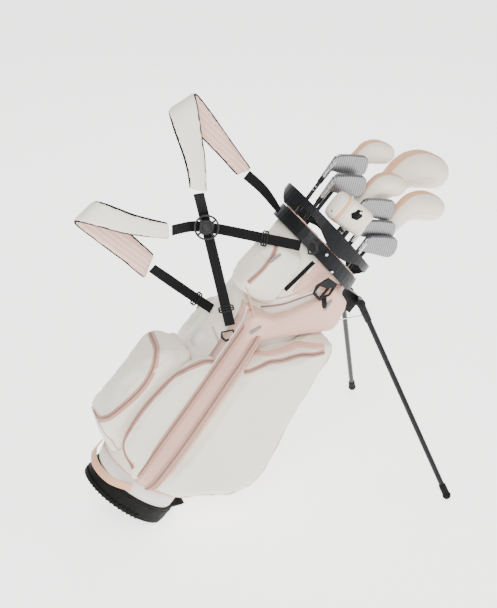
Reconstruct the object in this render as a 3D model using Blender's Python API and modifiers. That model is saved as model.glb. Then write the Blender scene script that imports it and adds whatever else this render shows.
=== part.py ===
"""A golf club set: a stand bag leaning on its two legs, its double-strap harness, and ten clubs.

Two frames are used. World has +Z up, and its origin is on the flat of the boot that the bag leans on.
The bag frame leans by TILT: its x points to the leg side, y across the bag and z along it, from boot to cuff.
"""

import math

import bmesh
import bpy
from mathutils import Matrix, Vector

GAP = 0.0003                      # clearance between touching pieces
TILT = math.radians(42.0)         # lean of the bag axis from the vertical
TOE_X = 0.1135                    # bag-frame x of the boot's corner below the origin
TOE_DROP = 0.004                  # depth of that corner below the ground, cut away as the flat

# Bag body
BODY_X = 0.008                    # the body's oval is centred this far to the leg side
BODY_HALF = (0.121, 0.112)        # half the oval's length (x) and width (y)
BOOT_X = 0.0256
BOOT_HALF = (0.125, 0.103)
BOOT_LOW = 0.016
BOOT_TOP = 0.066
WALL = 0.004
FLOOR_Z = 0.074                   # top of the floor that the grips stand on
SHELL_TOP = 0.860                 # cut back to the slope of the cuff

# Cuff
CUFF_SLOPE = -0.16                # rise of the mouth per metre towards the leg side
COLLAR_X = 0.00525
COLLAR_HALF = (0.13575, 0.126)
COLLAR_MID_Z = 0.826
COLLAR_HEIGHT = 0.036
COLLAR_INNER = (0.1216, 0.1126)
LINING_INNER = (0.115, 0.104)
HOOP_MID_Z = 0.879
HOOP_X = -0.0035
HOOP_HALF = (0.1405, 0.122)
HOOP_BAR = (0.007, 0.010)         # half thickness across and half height of the hoop's bar
HOOP_WEB = 0.0242                 # how far the hoop's webs reach down from its bar to the collar

# Stand
PIVOT = Vector((0.186, 0.055, 0.782))
FOOT_WORLD = Vector((0.7363, 0.275, 0.0115))
FOOT_RADIUS = 0.0115
LEG_RADIUS = 0.0070
HEAD_LENGTH = 0.052
FOOT_LENGTH = 0.036
ROD_X = 0.1405
ROD_FOOT_X = 0.163
ROD_Y = 0.018
ROD_TOP = 0.672
ROD_BOTTOM = 0.0796
ROD_RADIUS = 0.0020
LEVER_HINGE = (0.0145, 0.0, 0.0065)
LEVER_LENGTH = 0.066
LEVER_HALF_WIDTH = 0.034
LEVER_THICKNESS = 0.007

# Webbing
WEB_WIDTH = 0.021
WEB_THICKNESS = 0.0022
PAD_THICKNESS = 0.009
HUB = (0.1763, -0.005, 0.778)
HUB_REACH = 0.034                 # both long straps run flat behind the hub for this far on each side
HUB_NORMAL = Vector((-0.329, -0.801, 0.500)).normalized()

COLORS = {
    "cream": ((0.86, 0.84, 0.78, 1), 0.55, 0.0),
    "blush": ((0.80, 0.60, 0.53, 1), 0.60, 0.0),
    "tan": ((0.74, 0.47, 0.31, 1), 0.65, 0.0),
    "black": ((0.012, 0.012, 0.014, 1), 0.55, 0.0),
    "charcoal": ((0.03, 0.033, 0.038, 1), 0.40, 0.0),
    "steel": ((0.55, 0.55, 0.56, 1), 0.28, 1.0),
    "gunmetal": ((0.16, 0.16, 0.17, 1), 0.35, 1.0),
}

parts = bpy.data.collections.new("golf_club_set")
cutters = bpy.data.collections.new("cutters")


def material(name):
    found = bpy.data.materials.get(name)
    if found:
        return found
    color, roughness, metallic = COLORS[name]
    made = bpy.data.materials.new(name)
    made.use_nodes = True
    shader = made.node_tree.nodes["Principled BSDF"]
    shader.inputs["Base Color"].default_value = color
    shader.inputs["Roughness"].default_value = roughness
    shader.inputs["Metallic"].default_value = metallic
    return made


def empty(name, location, rotation=None, parent=None):
    made = bpy.data.objects.new(name, None)
    made.empty_display_size = 0.03
    made.location = location
    if rotation is not None:
        made.rotation_mode = "QUATERNION"
        made.rotation_quaternion = rotation
    made.parent = parent
    parts.objects.link(made)
    return made


def put(name, mesh, mat, parent, location=(0, 0, 0), rotation=None, angle=35):
    """Adds a mesh as a named part of the set, shaded smooth below the given edge angle."""
    made = bpy.data.objects.new(name, mesh)
    made.location = location
    if rotation is not None:
        made.rotation_mode = "QUATERNION"
        made.rotation_quaternion = rotation
    made.parent = parent
    mesh.materials.append(material(mat))
    mesh.shade_smooth()
    mesh.set_sharp_from_angle(angle=math.radians(angle))
    parts.objects.link(made)
    return made


def mesh_of(bm, name):
    bmesh.ops.recalc_face_normals(bm, faces=bm.faces)
    mesh = bpy.data.meshes.new(name)
    bm.to_mesh(mesh)
    bm.free()
    return mesh


def box_mesh(name, low, high):
    low, high = Vector(low), Vector(high)
    bm = bmesh.new()
    place = Matrix.Translation((low + high) / 2) @ Matrix.Diagonal((*(high - low), 1))
    bmesh.ops.create_cube(bm, size=1.0, matrix=place)
    return mesh_of(bm, name)


def oval_mesh(name, half, low, high, center_x=BODY_X, segments=56):
    """A solid oval cylinder along z."""
    bm = bmesh.new()
    place = Matrix.Translation((center_x, 0, (low + high) / 2)) @ Matrix.Diagonal((half[0], half[1], 1, 1))
    bmesh.ops.create_cone(bm, cap_ends=True, segments=segments, radius1=1, radius2=1, depth=high - low,
                          matrix=place)
    return mesh_of(bm, name)


def rod_mesh(name, start, end, radius, segments=12, end_radius=None):
    """A straight round bar between two points."""
    start, end = Vector(start), Vector(end)
    along = end - start
    bm = bmesh.new()
    place = Matrix.Translation((start + end) / 2) @ along.to_track_quat("Z", "Y").to_matrix().to_4x4()
    bmesh.ops.create_cone(bm, cap_ends=True, segments=segments, radius1=radius,
                          radius2=radius if end_radius is None else end_radius, depth=along.length, matrix=place)
    return mesh_of(bm, name)


def loft_mesh(name, rings, closed=False):
    """Skins rings of equal length. An open loft gets flat end caps, a closed one joins its two end rings."""
    bm = bmesh.new()
    rows = [[bm.verts.new(p) for p in ring] for ring in rings]
    count = len(rows[0])
    pairs = list(zip(rows, rows[1:]))
    if closed:
        pairs.append((rows[-1], rows[0]))
    for low, high in pairs:
        for i in range(count):
            j = (i + 1) % count
            bm.faces.new((low[i], low[j], high[j], high[i]))
    if not closed:
        bm.faces.new(reversed(rows[0]))
        bm.faces.new(rows[-1])
    return mesh_of(bm, name)


def slab_mesh(name, outline, low, high, plane="xz", bevel=0.0, segments=2):
    """An outline, filled and given thickness from low to high across its plane, with rounded rims."""
    curve = bpy.data.curves.new(name, "CURVE")
    curve.dimensions = "2D"
    curve.fill_mode = "BOTH"
    curve.extrude = (high - low) / 2
    spline = curve.splines.new("POLY")
    spline.points.add(len(outline) - 1)
    for point, (a, b) in zip(spline.points, outline):
        point.co = (a, b, 0, 1)
    spline.use_cyclic_u = True
    guide = bpy.data.objects.new(name + "_outline", curve)
    parts.objects.link(guide)
    mesh = bpy.data.meshes.new_from_object(guide.evaluated_get(bpy.context.evaluated_depsgraph_get()))
    bpy.data.objects.remove(guide)
    bm = bmesh.new()
    bm.from_mesh(mesh)
    bmesh.ops.remove_doubles(bm, verts=bm.verts, dist=0.00001)
    bmesh.ops.dissolve_limit(bm, angle_limit=0.01, verts=bm.verts, edges=bm.edges)
    bmesh.ops.translate(bm, verts=bm.verts, vec=(0, 0, (low + high) / 2))
    turn = {
        "xy": Matrix.Identity(4),
        "xz": Matrix(((1, 0, 0, 0), (0, 0, 1, 0), (0, 1, 0, 0), (0, 0, 0, 1))),
        "yz": Matrix(((0, 0, 1, 0), (1, 0, 0, 0), (0, 1, 0, 0), (0, 0, 0, 1))),
    }[plane]
    bmesh.ops.transform(bm, matrix=turn, verts=bm.verts)
    if bevel:
        rims = [e for e in bm.edges if len(e.link_faces) == 2 and e.calc_face_angle(0) > math.radians(60)]
        bmesh.ops.bevel(bm, geom=rims, offset=bevel, segments=segments, affect="EDGES", clamp_overlap=True)
    return mesh_of(bm, name)


def smooth_loop(points, per=4, closed=True):
    """Catmull-Rom points through the given ones."""
    points = [Vector(p) for p in points]
    count = len(points)
    made = []
    spans = count if closed else count - 1
    for i in range(spans):
        if closed:
            a, b, c, d = (points[(i + k - 1) % count] for k in range(4))
        else:
            a, b, c, d = (points[min(max(i + k - 1, 0), count - 1)] for k in range(4))
        for step in range(per):
            t = step / per
            made.append(0.5 * ((2 * b) + (c - a) * t + (2 * a - 5 * b + 4 * c - d) * t * t
                               + (3 * b - a - 3 * c + d) * t ** 3))
    if not closed:
        made.append(points[-1])
    return made


def modifier(obj, kind, **settings):
    made = obj.modifiers.new(kind.lower(), kind)
    for key, value in settings.items():
        setattr(made, key, value)
    return made


def cutter(name, mesh, parent, location=(0, 0, 0)):
    made = bpy.data.objects.new(name, mesh)
    made.location = location
    made.parent = parent
    made.hide_render = True
    made.display_type = "WIRE"
    cutters.objects.link(made)
    return made


def cut(obj, tool, operation="DIFFERENCE"):
    modifier(obj, "BOOLEAN", operation=operation, object=tool, solver="EXACT")


def turned(name, profile, mat, parent, steps=14, location=(0, 0, 0)):
    """A round piece about z: the profile runs down its outer side, given as (radius, height)."""
    mesh = bpy.data.meshes.new(name)
    verts = [(radius, 0, height) for radius, height in profile]
    mesh.from_pydata(verts, [(i, i + 1) for i in range(len(verts) - 1)], [])
    made = put(name, mesh, mat, parent, location)
    modifier(made, "SCREW", angle=2 * math.pi, steps=steps, render_steps=steps, axis="Z",
             use_merge_vertices=True, merge_threshold=0.0001, use_smooth_shade=True)
    return made


def strip(name, edge_a, edge_b, thickness, mat, parent=None):
    """A flat band between two edge lines, thickened about its middle surface."""
    bm = bmesh.new()
    rows = [(bm.verts.new(a), bm.verts.new(b)) for a, b in zip(edge_a, edge_b)]
    for (a, b), (c, d) in zip(rows, rows[1:]):
        bm.faces.new((a, b, d, c))
    made = put(name, mesh_of(bm, name), mat, parent)
    modifier(made, "SOLIDIFY", thickness=thickness, offset=0, use_even_offset=True)
    return made


def band(name, points, across, width, thickness, mat, parent=None, per=5):
    """Webbing along smooth points. across gives its width direction at each point."""
    line = smooth_loop(points, per, closed=False)
    sides = [v.normalized() for v in smooth_loop(across, per, closed=False)]
    edge_a = [p - s * width / 2 for p, s in zip(line, sides)]
    edge_b = [p + s * width / 2 for p, s in zip(line, sides)]
    return strip(name, edge_a, edge_b, thickness, mat, parent)


# ---------------------------------------------------------------- frames

for stale in list(bpy.data.objects):
    bpy.data.objects.remove(stale)
bpy.context.scene.collection.children.link(parts)
bpy.context.scene.collection.children.link(cutters)

BAG_TURN = Matrix.Rotation(TILT, 4, "Y")
BAG_ORIGIN = -(BAG_TURN @ Vector((TOE_X, 0, BOOT_LOW))) - Vector((0, 0, TOE_DROP))
BAG_PLACE = Matrix.Translation(BAG_ORIGIN) @ BAG_TURN
bag = empty("bag_frame", BAG_ORIGIN, BAG_TURN.to_quaternion())


def world(x, y, z):
    """World place of a bag-frame point."""
    return BAG_PLACE @ Vector((x, y, z))


def cuff_z(x, mid):
    return mid + CUFF_SLOPE * x


# ---------------------------------------------------------------- boot, lever and body


def build_base():
    boot = put("base_boot", oval_mesh("base_boot", BOOT_HALF, BOOT_LOW, BOOT_TOP, BOOT_X, 48), "black", bag)
    modifier(boot, "BEVEL", width=0.004, segments=2, limit_method="ANGLE", angle_limit=math.radians(50))
    cut(boot, cutter("ground", box_mesh("ground", (-0.5, -0.3, -0.2), (0.5, 0.3, 0)), None))
    side = LEVER_HALF_WIDTH + 0.001
    cut(boot, cutter("lever_notch", box_mesh("lever_notch", (0.006, -side, -0.05), (0.12, side, 0.020)), None))
    well = box_mesh("rod_well", (ROD_X - 0.006, -side, -0.02), (0.2, side, BOOT_TOP + 0.01))
    cut(boot, cutter("rod_well", well, bag))
    lever = empty("toe_lever_axis", LEVER_HINGE)
    half = LEVER_THICKNESS / 2
    outline = [(-0.004, -half), (LEVER_LENGTH, -half), (LEVER_LENGTH + 0.008, 0), (LEVER_LENGTH, half),
               (0.004, half), (-0.002, half + 0.004), (-0.007, half)]
    drop = LEVER_HINGE[2] - 0.0006 - half
    plate = slab_mesh("toe_lever", [(x, z - drop) for x, z in outline], -LEVER_HALF_WIDTH, LEVER_HALF_WIDTH,
                      bevel=0.0012, segments=1)
    put("toe_lever", plate, "black", lever)


def body_mesh(name, inset, low, high, segments=56):
    """The body's solid, inset from its skin: an oval that narrows towards the boot."""
    levels = [(BOOT_TOP, 0.0225, (0.114, 0.101)), (0.105, 0.0140, (0.119, 0.107)), (0.150, BODY_X, BODY_HALF),
              (1.0, BODY_X, BODY_HALF)]
    heights = [low] + [z for z, _, _ in levels if low < z < high] + [high]
    rings = []
    for z in heights:
        at = max(i for i, level in enumerate(levels) if level[0] <= max(z, levels[0][0]))
        (z0, x0, half0), (z1, x1, half1) = levels[at], levels[min(at + 1, len(levels) - 1)]
        t = min(1.0, max(0.0, (z - z0) / (z1 - z0))) if z1 > z0 else 0.0
        middle = x0 + (x1 - x0) * t
        long_half = half0[0] + (half1[0] - half0[0]) * t - inset
        wide_half = half0[1] + (half1[1] - half0[1]) * t - inset
        rings.append([(middle + long_half * math.cos(turn), wide_half * math.sin(turn), z)
                      for turn in (2 * math.pi * i / segments for i in range(segments))])
    return loft_mesh(name, rings)


def build_shell():
    shell = put("bag_shell", body_mesh("bag_shell", 0, BOOT_TOP + GAP, SHELL_TOP), "cream", bag)
    cut(shell, cutter("shell_space", body_mesh("shell_space", WALL, FLOOR_Z, SHELL_TOP + 0.1), bag))
    above = box_mesh("above_shell", (-0.3, -0.3, 0), (0.3, 0.3, 0.3))
    for vert in above.vertices:
        vert.co.z += cuff_z(vert.co.x, COLLAR_MID_Z - COLLAR_HEIGHT / 2 + 0.004)
    cut(shell, cutter("above_shell", above, bag))


def oval_ring(outer_x, half_outer, half_inner, mid_z, height, segments=44, crown=0.003, end_relief=0.0):
    """Sections of a sloped oval band, for loft_mesh. Its inside is centred on the body."""
    rings = []
    for i in range(segments):
        turn = 2 * math.pi * i / segments
        cx, cy = math.cos(turn), math.sin(turn)
        ring = []
        for side, lift in ((1, -0.5), (1, 0.5), (0, 0.5), (0, -0.5)):
            half = half_outer if side else half_inner
            inset = crown if side else 0
            x = (outer_x if side else BODY_X) + cx * (half[0] - inset * (lift > 0))
            y = cy * (half[1] - inset * (lift > 0))
            relief = end_relief * min(1.0, max(0.0, (x - 0.08) / 0.055)) * (lift < 0)
            ring.append((x, y, cuff_z(x, mid_z) + lift * height + relief))
        rings.append(ring)
    return rings


def build_cuff():
    collar = oval_ring(COLLAR_X, COLLAR_HALF, COLLAR_INNER, COLLAR_MID_Z, COLLAR_HEIGHT,
                       end_relief=0.014)
    put("cuff_collar", loft_mesh("cuff_collar", collar, closed=True), "charcoal", bag)
    outer = (COLLAR_INNER[0] - GAP, COLLAR_INNER[1] - GAP)
    lining = oval_ring(BODY_X, outer, LINING_INNER, COLLAR_MID_Z + 0.006, 0.034, crown=0)
    put("cuff_lining", loft_mesh("cuff_lining", lining, closed=True), "blush", bag)
    segments = 48
    rings = []
    for i in range(segments):
        turn = 2 * math.pi * i / segments
        cx, cy = math.cos(turn), math.sin(turn)
        x = HOOP_X + cx * HOOP_HALF[0]
        y = cy * HOOP_HALF[1]
        # The bar reaches down to the collar in a web at each side of the mouth and at both ends.
        side_web = max(0.0, 1 - ((x + 0.030) / 0.080) ** 2) ** 1.5
        end_web = max(0.0, 1 - abs(cy) / 0.33) ** 0.7
        top = cuff_z(x, HOOP_MID_Z) + HOOP_BAR[1]
        low = top - 2 * HOOP_BAR[1] - max(side_web, end_web) * HOOP_WEB
        out = Vector((cx / HOOP_HALF[0], cy / HOOP_HALF[1], 0)).normalized() * HOOP_BAR[0]
        rise = CUFF_SLOPE * out.x
        rings.append([(x + out.x, y + out.y, low + rise), (x + out.x, y + out.y, top + rise),
                      (x - out.x, y - out.y, top - rise), (x - out.x, y - out.y, low - rise)])
    put("cuff_hoop", loft_mesh("cuff_hoop", rings, closed=True), "charcoal", bag)


def build_dividers():
    top, low = 0.788, 0.772
    sheet_y = 0.032
    reach = 0.1095
    grid = put("divider_grid", box_mesh("divider_grid", (BODY_X - reach, sheet_y - 0.003, low),
                                        (BODY_X + reach, sheet_y + 0.003, top)), "blush", bag)
    near = box_mesh("grid_near", (-0.066, -0.081, low), (-0.060, sheet_y, top))
    far = box_mesh("grid_far", (0.042, sheet_y, low), (0.048, 0.092, top))
    cut(grid, cutter("grid_near", near, bag), "UNION")
    cut(grid, cutter("grid_far", far, bag), "UNION")
    sheet = box_mesh("divider_sheet", (BODY_X - 0.108, sheet_y - 0.0008, 0.152),
                     (BODY_X + 0.108, sheet_y + 0.0008, low - GAP))
    put("divider_sheet", sheet, "blush", bag)


# ---------------------------------------------------------------- pockets

NEAR_POCKET = [(0.108, 0.682), (0.145, 0.574), (0.176, 0.434), (0.201, 0.318), (0.194, 0.250), (0.150, 0.200),
               (0.110, 0.176), (0.041, 0.141), (-0.040, 0.132), (-0.043, 0.220), (-0.048, 0.325),
               (-0.060, 0.441), (-0.057, 0.505), (-0.042, 0.548), (0.042, 0.624)]
UPPER_POCKET = [(0.106, 0.694), (0.103, 0.735), (0.086, 0.775), (0.022, 0.784), (0.022, 0.750), (-0.008, 0.702),
                (-0.050, 0.645), (-0.105, 0.628), (-0.098, 0.592), (-0.078, 0.525), (-0.066, 0.516),
                (-0.054, 0.568), (0.038, 0.642)]
BALL_POCKET = [(-0.108, 0.140), (-0.150, 0.150), (-0.190, 0.168), (-0.206, 0.205), (-0.208, 0.300),
               (-0.206, 0.385), (-0.190, 0.425), (-0.150, 0.438), (-0.108, 0.430)]
COOLER_POCKET = [(0.000, 0.128), (0.045, 0.140), (0.085, 0.166), (0.103, 0.205), (0.112, 0.274), (0.106, 0.364),
                 (0.086, 0.437), (0.055, 0.474), (0.015, 0.486), (0.000, 0.440)]
VALUABLES_POCKET = [(-0.092, 0.652), (-0.102, 0.690), (-0.094, 0.790), (-0.050, 0.805), (-0.014, 0.790),
                    (-0.004, 0.690), (-0.018, 0.652), (-0.055, 0.644)]


def pocket(name, outline, low, high, plane, mat, bevel, location=(0, 0, 0), turn=0.0):
    """A padded pocket against the body: its outline, thickened, with the body's oval cut out of its back."""
    mesh = slab_mesh(name, [(p.x, p.y) for p in smooth_loop([(a, b, 0) for a, b in outline], 2)], low, high,
                     plane, bevel)
    place = Matrix.Translation(location) @ Matrix.Rotation(turn, 4, "Z")
    mesh.transform(place)
    made = put(name, mesh, mat, bag)
    cut(made, body_cutter())
    return made


def body_cutter():
    found = bpy.data.objects.get("body_space")
    if found:
        return found
    return cutter("body_space", body_mesh("body_space", -GAP, 0.02, 0.95), bag)


def build_pockets():
    pocket("near_pocket", NEAR_POCKET, -0.176, -0.088, "xz", "cream", 0.006)
    pocket("far_pocket", NEAR_POCKET, 0.088, 0.176, "xz", "cream", 0.006)
    pocket("upper_pocket", UPPER_POCKET, -0.136, -0.060, "xz", "blush", 0.005)
    pocket("ball_pocket", BALL_POCKET, -0.062, 0.054, "xz", "cream", 0.007)
    pocket("valuables_pocket", VALUABLES_POCKET, -0.160, -0.052, "yz", "cream", 0.009)
    lean = math.pi - math.atan2(0.058, 0.125)
    cooler = pocket("cooler_pocket", COOLER_POCKET, -0.045, 0.0, "xz", "cream", 0.006,
                    (-0.062, -0.136, 0), lean)
    cut(cooler, cutter("ball_side", box_mesh("ball_side", (-0.3, -0.0623, 0), (-0.09, 0.1, 0.6)), bag))
    cut(cooler, cutter("near_side", box_mesh("near_side", (-0.063, -0.2, 0), (0.1, 0.1, 0.6)), bag))


# ---------------------------------------------------------------- stand


def leg_frames(side):
    """World pivot, open direction and hinge axis of one leg. side is -1 for the near leg, 1 for the far."""
    pivot = world(PIVOT.x, side * PIVOT.y, PIVOT.z)
    foot = Vector((FOOT_WORLD.x, side * FOOT_WORLD.y, FOOT_WORLD.z))
    along = (foot - pivot).normalized()
    folded = (BAG_TURN @ Vector((0, 0, -1))).normalized()
    axis = along.cross(folded).normalized()
    return pivot, along, axis, (foot - pivot).length


def build_leg(label, side):
    pivot, along, axis, length = leg_frames(side)
    across = axis.cross(along)
    turn = Matrix((across, axis, along)).transposed().to_quaternion()
    hinge = empty(label + "_leg_axis", pivot, turn)
    # In the leg's frame z runs down the leg and y is the hinge axis.
    barrel = put(label + "_leg_head", rod_mesh("leg_head", (0, -0.010, 0), (0, 0.010, 0), 0.0115, 20),
                 "black", hinge)
    socket = rod_mesh("leg_socket", (0, 0, 0.002), (0, 0, HEAD_LENGTH), 0.0098, 16, 0.0090)
    cut(barrel, cutter(label + "_leg_socket", socket, hinge), "UNION")
    bore = rod_mesh("leg_bore", (0, -0.03, 0), (0, 0.03, 0), 0.0045, 16)
    cut(barrel, cutter(label + "_leg_bore", bore, hinge))
    tube = rod_mesh("leg_tube", (0, 0, HEAD_LENGTH + GAP), (0, 0, length - FOOT_LENGTH), LEG_RADIUS, 16)
    put(label + "_leg_tube", tube, "black", hinge)
    top = -(length - FOOT_LENGTH + GAP)
    profile = [(0.0, top), (0.0075, top), (0.0095, top - 0.004), (0.0098, -length + 0.006)]
    for step in range(1, 5):
        bend = math.radians(22.5 * step)
        profile.append((FOOT_RADIUS * math.cos(bend), -length - FOOT_RADIUS * math.sin(bend)))
    profile.insert(4, (FOOT_RADIUS, -length))
    foot = turned(label + "_leg_foot", profile, "black", hinge, steps=16)
    foot.rotation_mode = "QUATERNION"
    foot.rotation_quaternion = Matrix.Rotation(math.pi, 4, "X").to_quaternion()

def build_bracket():
    """The moulded block under the cuff that carries both hinge pins, and the guide of the lever's rod."""
    back = BODY_X + BODY_HALF[0] + GAP
    block = put("leg_bracket", box_mesh("leg_bracket", (back, -0.027, 0.742), (0.202, 0.027, 0.790)),
                "black", bag)
    for label, side in (("near", -1), ("far", 1)):
        pivot, _, axis, _ = leg_frames(side)
        axis_bag = BAG_TURN.inverted() @ axis
        inward = axis_bag if axis_bag.y * side < 0 else -axis_bag
        center = Vector((PIVOT.x, side * PIVOT.y, PIVOT.z))
        ear = rod_mesh("ear", center + inward * 0.0105, center + inward * 0.0360, 0.0110, 20)
        pin = rod_mesh("pin", center - inward * 0.0125, center + inward * 0.020, 0.0042, 16)
        cut(block, cutter(label + "_ear", ear, bag), "UNION")
        cut(block, cutter(label + "_pin", pin, bag), "UNION")


def link_ends(side):
    """World ends of the link between the lever's rod and one leg."""
    pivot, along, axis, _ = leg_frames(side)
    inward = axis if axis.y * side < 0 else -axis
    top = pivot + along * 0.037 + inward * 0.0155
    low = world(ROD_X + 0.0035, side * (ROD_Y + 0.0045), ROD_TOP - 0.004)
    return top, low


def build_linkage():
    points = [(ROD_X, -ROD_Y, ROD_TOP), (ROD_X, -ROD_Y, 0.125), (ROD_FOOT_X, -0.008, ROD_BOTTOM),
              (ROD_FOOT_X, 0.008, ROD_BOTTOM), (ROD_X, ROD_Y, 0.125), (ROD_X, ROD_Y, ROD_TOP)]
    curve = bpy.data.curves.new("actuator_rod", "CURVE")
    curve.dimensions = "3D"
    curve.bevel_depth = ROD_RADIUS
    curve.bevel_resolution = 2
    curve.use_fill_caps = True
    spline = curve.splines.new("POLY")
    spline.points.add(len(points) - 1)
    for point, place in zip(spline.points, points):
        point.co = (*place, 1)
    rod = bpy.data.objects.new("actuator_rod", curve)
    rod.parent = bag
    curve.materials.append(material("steel"))
    parts.objects.link(rod)
    for label, side in (("near", -1), ("far", 1)):
        top, low = link_ends(side)
        hinge = empty(label + "_link_axis", low)
        put(label + "_link", rod_mesh("link", (0, 0, 0), top - low, 0.0016, 10), "steel", hinge)


# ---------------------------------------------------------------- small fittings


def build_fittings():
    loop = [(-0.043, -0.099, 0.086), (-0.096, -0.082, 0.074), (-0.125, -0.034, 0.074), (-0.121, 0.016, 0.084),
            (-0.099, 0.050, 0.100)]
    across = [(0.1, 0.1, 1), (0.35, 0.1, 1), (0.4, 0, 1), (0.35, -0.1, 1), (0.1, -0.1, 1)]
    band("grab_loop", loop, across, 0.020, 0.003, "tan", bag)
    outline = [(0.002, -0.016), (-0.030, -0.030), (-0.052, -0.022), (-0.056, 0.004), (-0.030, 0.020),
               (0.002, 0.016)]
    swing = empty("towel_ring_axis", (0.004, -0.1405, 0.796), parent=bag)
    mesh = slab_mesh("towel_ring", [(b, a) for a, b in outline], -0.003, 0.003, bevel=0.001, segments=1)
    ring = put("towel_ring", mesh, "charcoal", swing)
    for label, hole in (("low", [(0.001, -0.048), (-0.022, -0.045), (-0.022, -0.026), (0.001, -0.020)]),
                        ("high", [(0.0045, -0.048), (0.0165, -0.030), (0.0125, -0.011), (0.0045, -0.015)])):
        tool = slab_mesh("ring_hole", hole, -0.02, 0.02)
        cut(ring, cutter("ring_hole_" + label, tool, swing))
    cut(ring, cutter("ring_clear", box_mesh("ring_clear", (-0.05, -0.02, 0.006), (0.05, 0.02, 0.03)), swing))


PULLS = [("panel_pull", (0.040, -0.1385, 0.752), 0.0), ("column_pull", (-0.078, -0.1390, 0.606), 25.0),
         ("valuables_pull", (-0.140, -0.1055, 0.770), 20.0)]


def build_pulls():
    """Zip sliders with their tabs, each on the line that it runs along."""
    for name, place, lean in PULLS:
        axis = empty(name + "_axis", place, Matrix.Rotation(math.radians(lean), 4, "Y").to_quaternion(), bag)
        tab = slab_mesh(name, [(-0.003, 0.006), (-0.004, -0.006), (-0.0045, -0.024), (0.0045, -0.024),
                               (0.004, -0.006), (0.003, 0.006)], -0.0014, 0.0014, bevel=0.0006, segments=1)
        put(name, tab, "gunmetal", axis)


def frame_piece(name, place, turn, size, hole, thickness):
    """A small flat moulded frame with a slot through it, such as a slider or a hook."""
    piece = slab_mesh(name, size, -thickness / 2, thickness / 2, plane="xy", bevel=0.0008, segments=1)
    made = put(name, piece, "black", None, place, turn)
    frame = empty(name + "_frame", place, turn)
    cut(made, cutter(name + "_hole", slab_mesh(name + "_hole", hole, -0.02, 0.02, plane="xy"), frame))


# ---------------------------------------------------------------- harness


def folded_pad(name, edge_a, edge_b):
    """A shoulder pad between its two long edges, folded over at the middle."""
    line_a = smooth_loop(edge_a, 4, closed=False)
    line_b = smooth_loop(edge_b, 4, closed=False)
    return strip(name, line_a, line_b, PAD_THICKNESS, "cream")


def build_harness():
    upper_a = [(0.129, -0.032, 0.896), (0.116, -0.038, 0.965), (0.094, -0.030, 1.050), (0.098, 0.000, 1.074),
               (0.139, 0.028, 1.036), (0.204, 0.034, 0.960), (0.271, 0.036, 0.878)]
    upper_b = [(0.168, -0.026, 0.880), (0.166, -0.030, 0.970), (0.154, -0.024, 1.075), (0.158, 0.004, 1.102),
               (0.188, 0.030, 1.068), (0.238, 0.040, 0.995), (0.306, 0.040, 0.885)]
    folded_pad("upper_pad", upper_a, upper_b)
    lower_a = [(0.074, -0.036, 0.822), (0.002, -0.040, 0.856), (-0.069, -0.030, 0.893), (-0.085, 0.000, 0.886),
               (-0.067, 0.026, 0.856), (-0.003, 0.034, 0.786), (0.059, 0.036, 0.708)]
    lower_b = [(0.076, -0.030, 0.782), (-0.018, -0.034, 0.810), (-0.113, -0.024, 0.853), (-0.131, 0.004, 0.846),
               (-0.111, 0.030, 0.812), (-0.043, 0.038, 0.735), (0.035, 0.040, 0.650)]
    folded_pad("lower_pad", lower_a, lower_b)
    build_long_straps()
    build_hooks()
    build_pulls()
    points = [(0.2938, 0.0375, 0.8755), (0.331, 0.022, 0.836), world(-0.1465, 0.0, 0.846)]
    across = [(0.75, 0.1, 0.45), (0.7, 0.3, 0.5), (0.5, 0.8, 0.3)]
    band("upper_strap", points, across, WEB_WIDTH, WEB_THICKNESS, "black")
    points = [(0.0518, 0.0375, 0.6755), (0.121, 0.020, 0.612), world(-0.1210, 0.0, 0.556)]
    across = [(0.4, -0.1, 0.8), (0.4, 0.3, 0.7), (0.5, 0.4, 0.6)]
    band("lower_strap", points, across, WEB_WIDTH, WEB_THICKNESS, "black")
    build_hub()


def hub_crossing(before, after, depth):
    """Three points of a strap that crosses flat behind the hub, and its width direction there."""
    middle = Vector(HUB) - HUB_NORMAL * depth
    along = Vector(after) - Vector(before)
    along = (along - along.dot(HUB_NORMAL) * HUB_NORMAL).normalized()
    return [middle - along * HUB_REACH, middle, middle + along * HUB_REACH], HUB_NORMAL.cross(along)


def build_long_straps():
    """Each long strap runs from a shoulder pad, through the hub, to a hook on the bag's near side."""
    start = Vector((0.1498, -0.029, 0.8790))
    hook = world(-0.1185, -0.0985, 0.5665)
    middle, side = hub_crossing(start, hook, 0.0012)
    points = [start, *middle, middle[2].lerp(hook, 0.6), hook]
    last = HUB_NORMAL.cross(hook - points[-2])
    across = [(1, -0.3, 0.1), side, side, side, last, last]
    band("long_strap_a", points, across, WEB_WIDTH, WEB_THICKNESS, "black")
    start = Vector((0.0828, -0.033, 0.8015))
    hook = world(-0.1260, -0.1290, 0.8200)
    middle, side = hub_crossing(start, hook, 0.0064)
    points = [start, *middle, middle[2].lerp(hook, 0.55), hook]
    last = HUB_NORMAL.cross(hook - points[-2])
    band("long_strap_b", points, [side, side, side, side, last, last], WEB_WIDTH, WEB_THICKNESS, "black")


def build_hooks():
    """The hooks that hold the long straps' lower ends, and the sliders that set the straps' lengths."""
    facing = HUB_NORMAL.to_track_quat("Z", "Y")
    hook = [(-0.015, 0.010), (-0.019, -0.004), (-0.010, -0.016), (0.010, -0.016), (0.019, -0.004),
            (0.015, 0.010)]
    gap = [(-0.0115, 0.006), (-0.013, -0.003), (-0.008, -0.010), (0.008, -0.010), (0.013, -0.003),
           (0.0115, 0.006)]
    for name, place, roll in (("side_hook", world(-0.110, -0.103, 0.546), 12),
                              ("cuff_hook", world(-0.104, -0.136, 0.832), 96)):
        turn = facing @ Matrix.Rotation(math.radians(roll), 4, "Z").to_quaternion()
        frame_piece(name, place, turn, hook, gap, 0.004)


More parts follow.
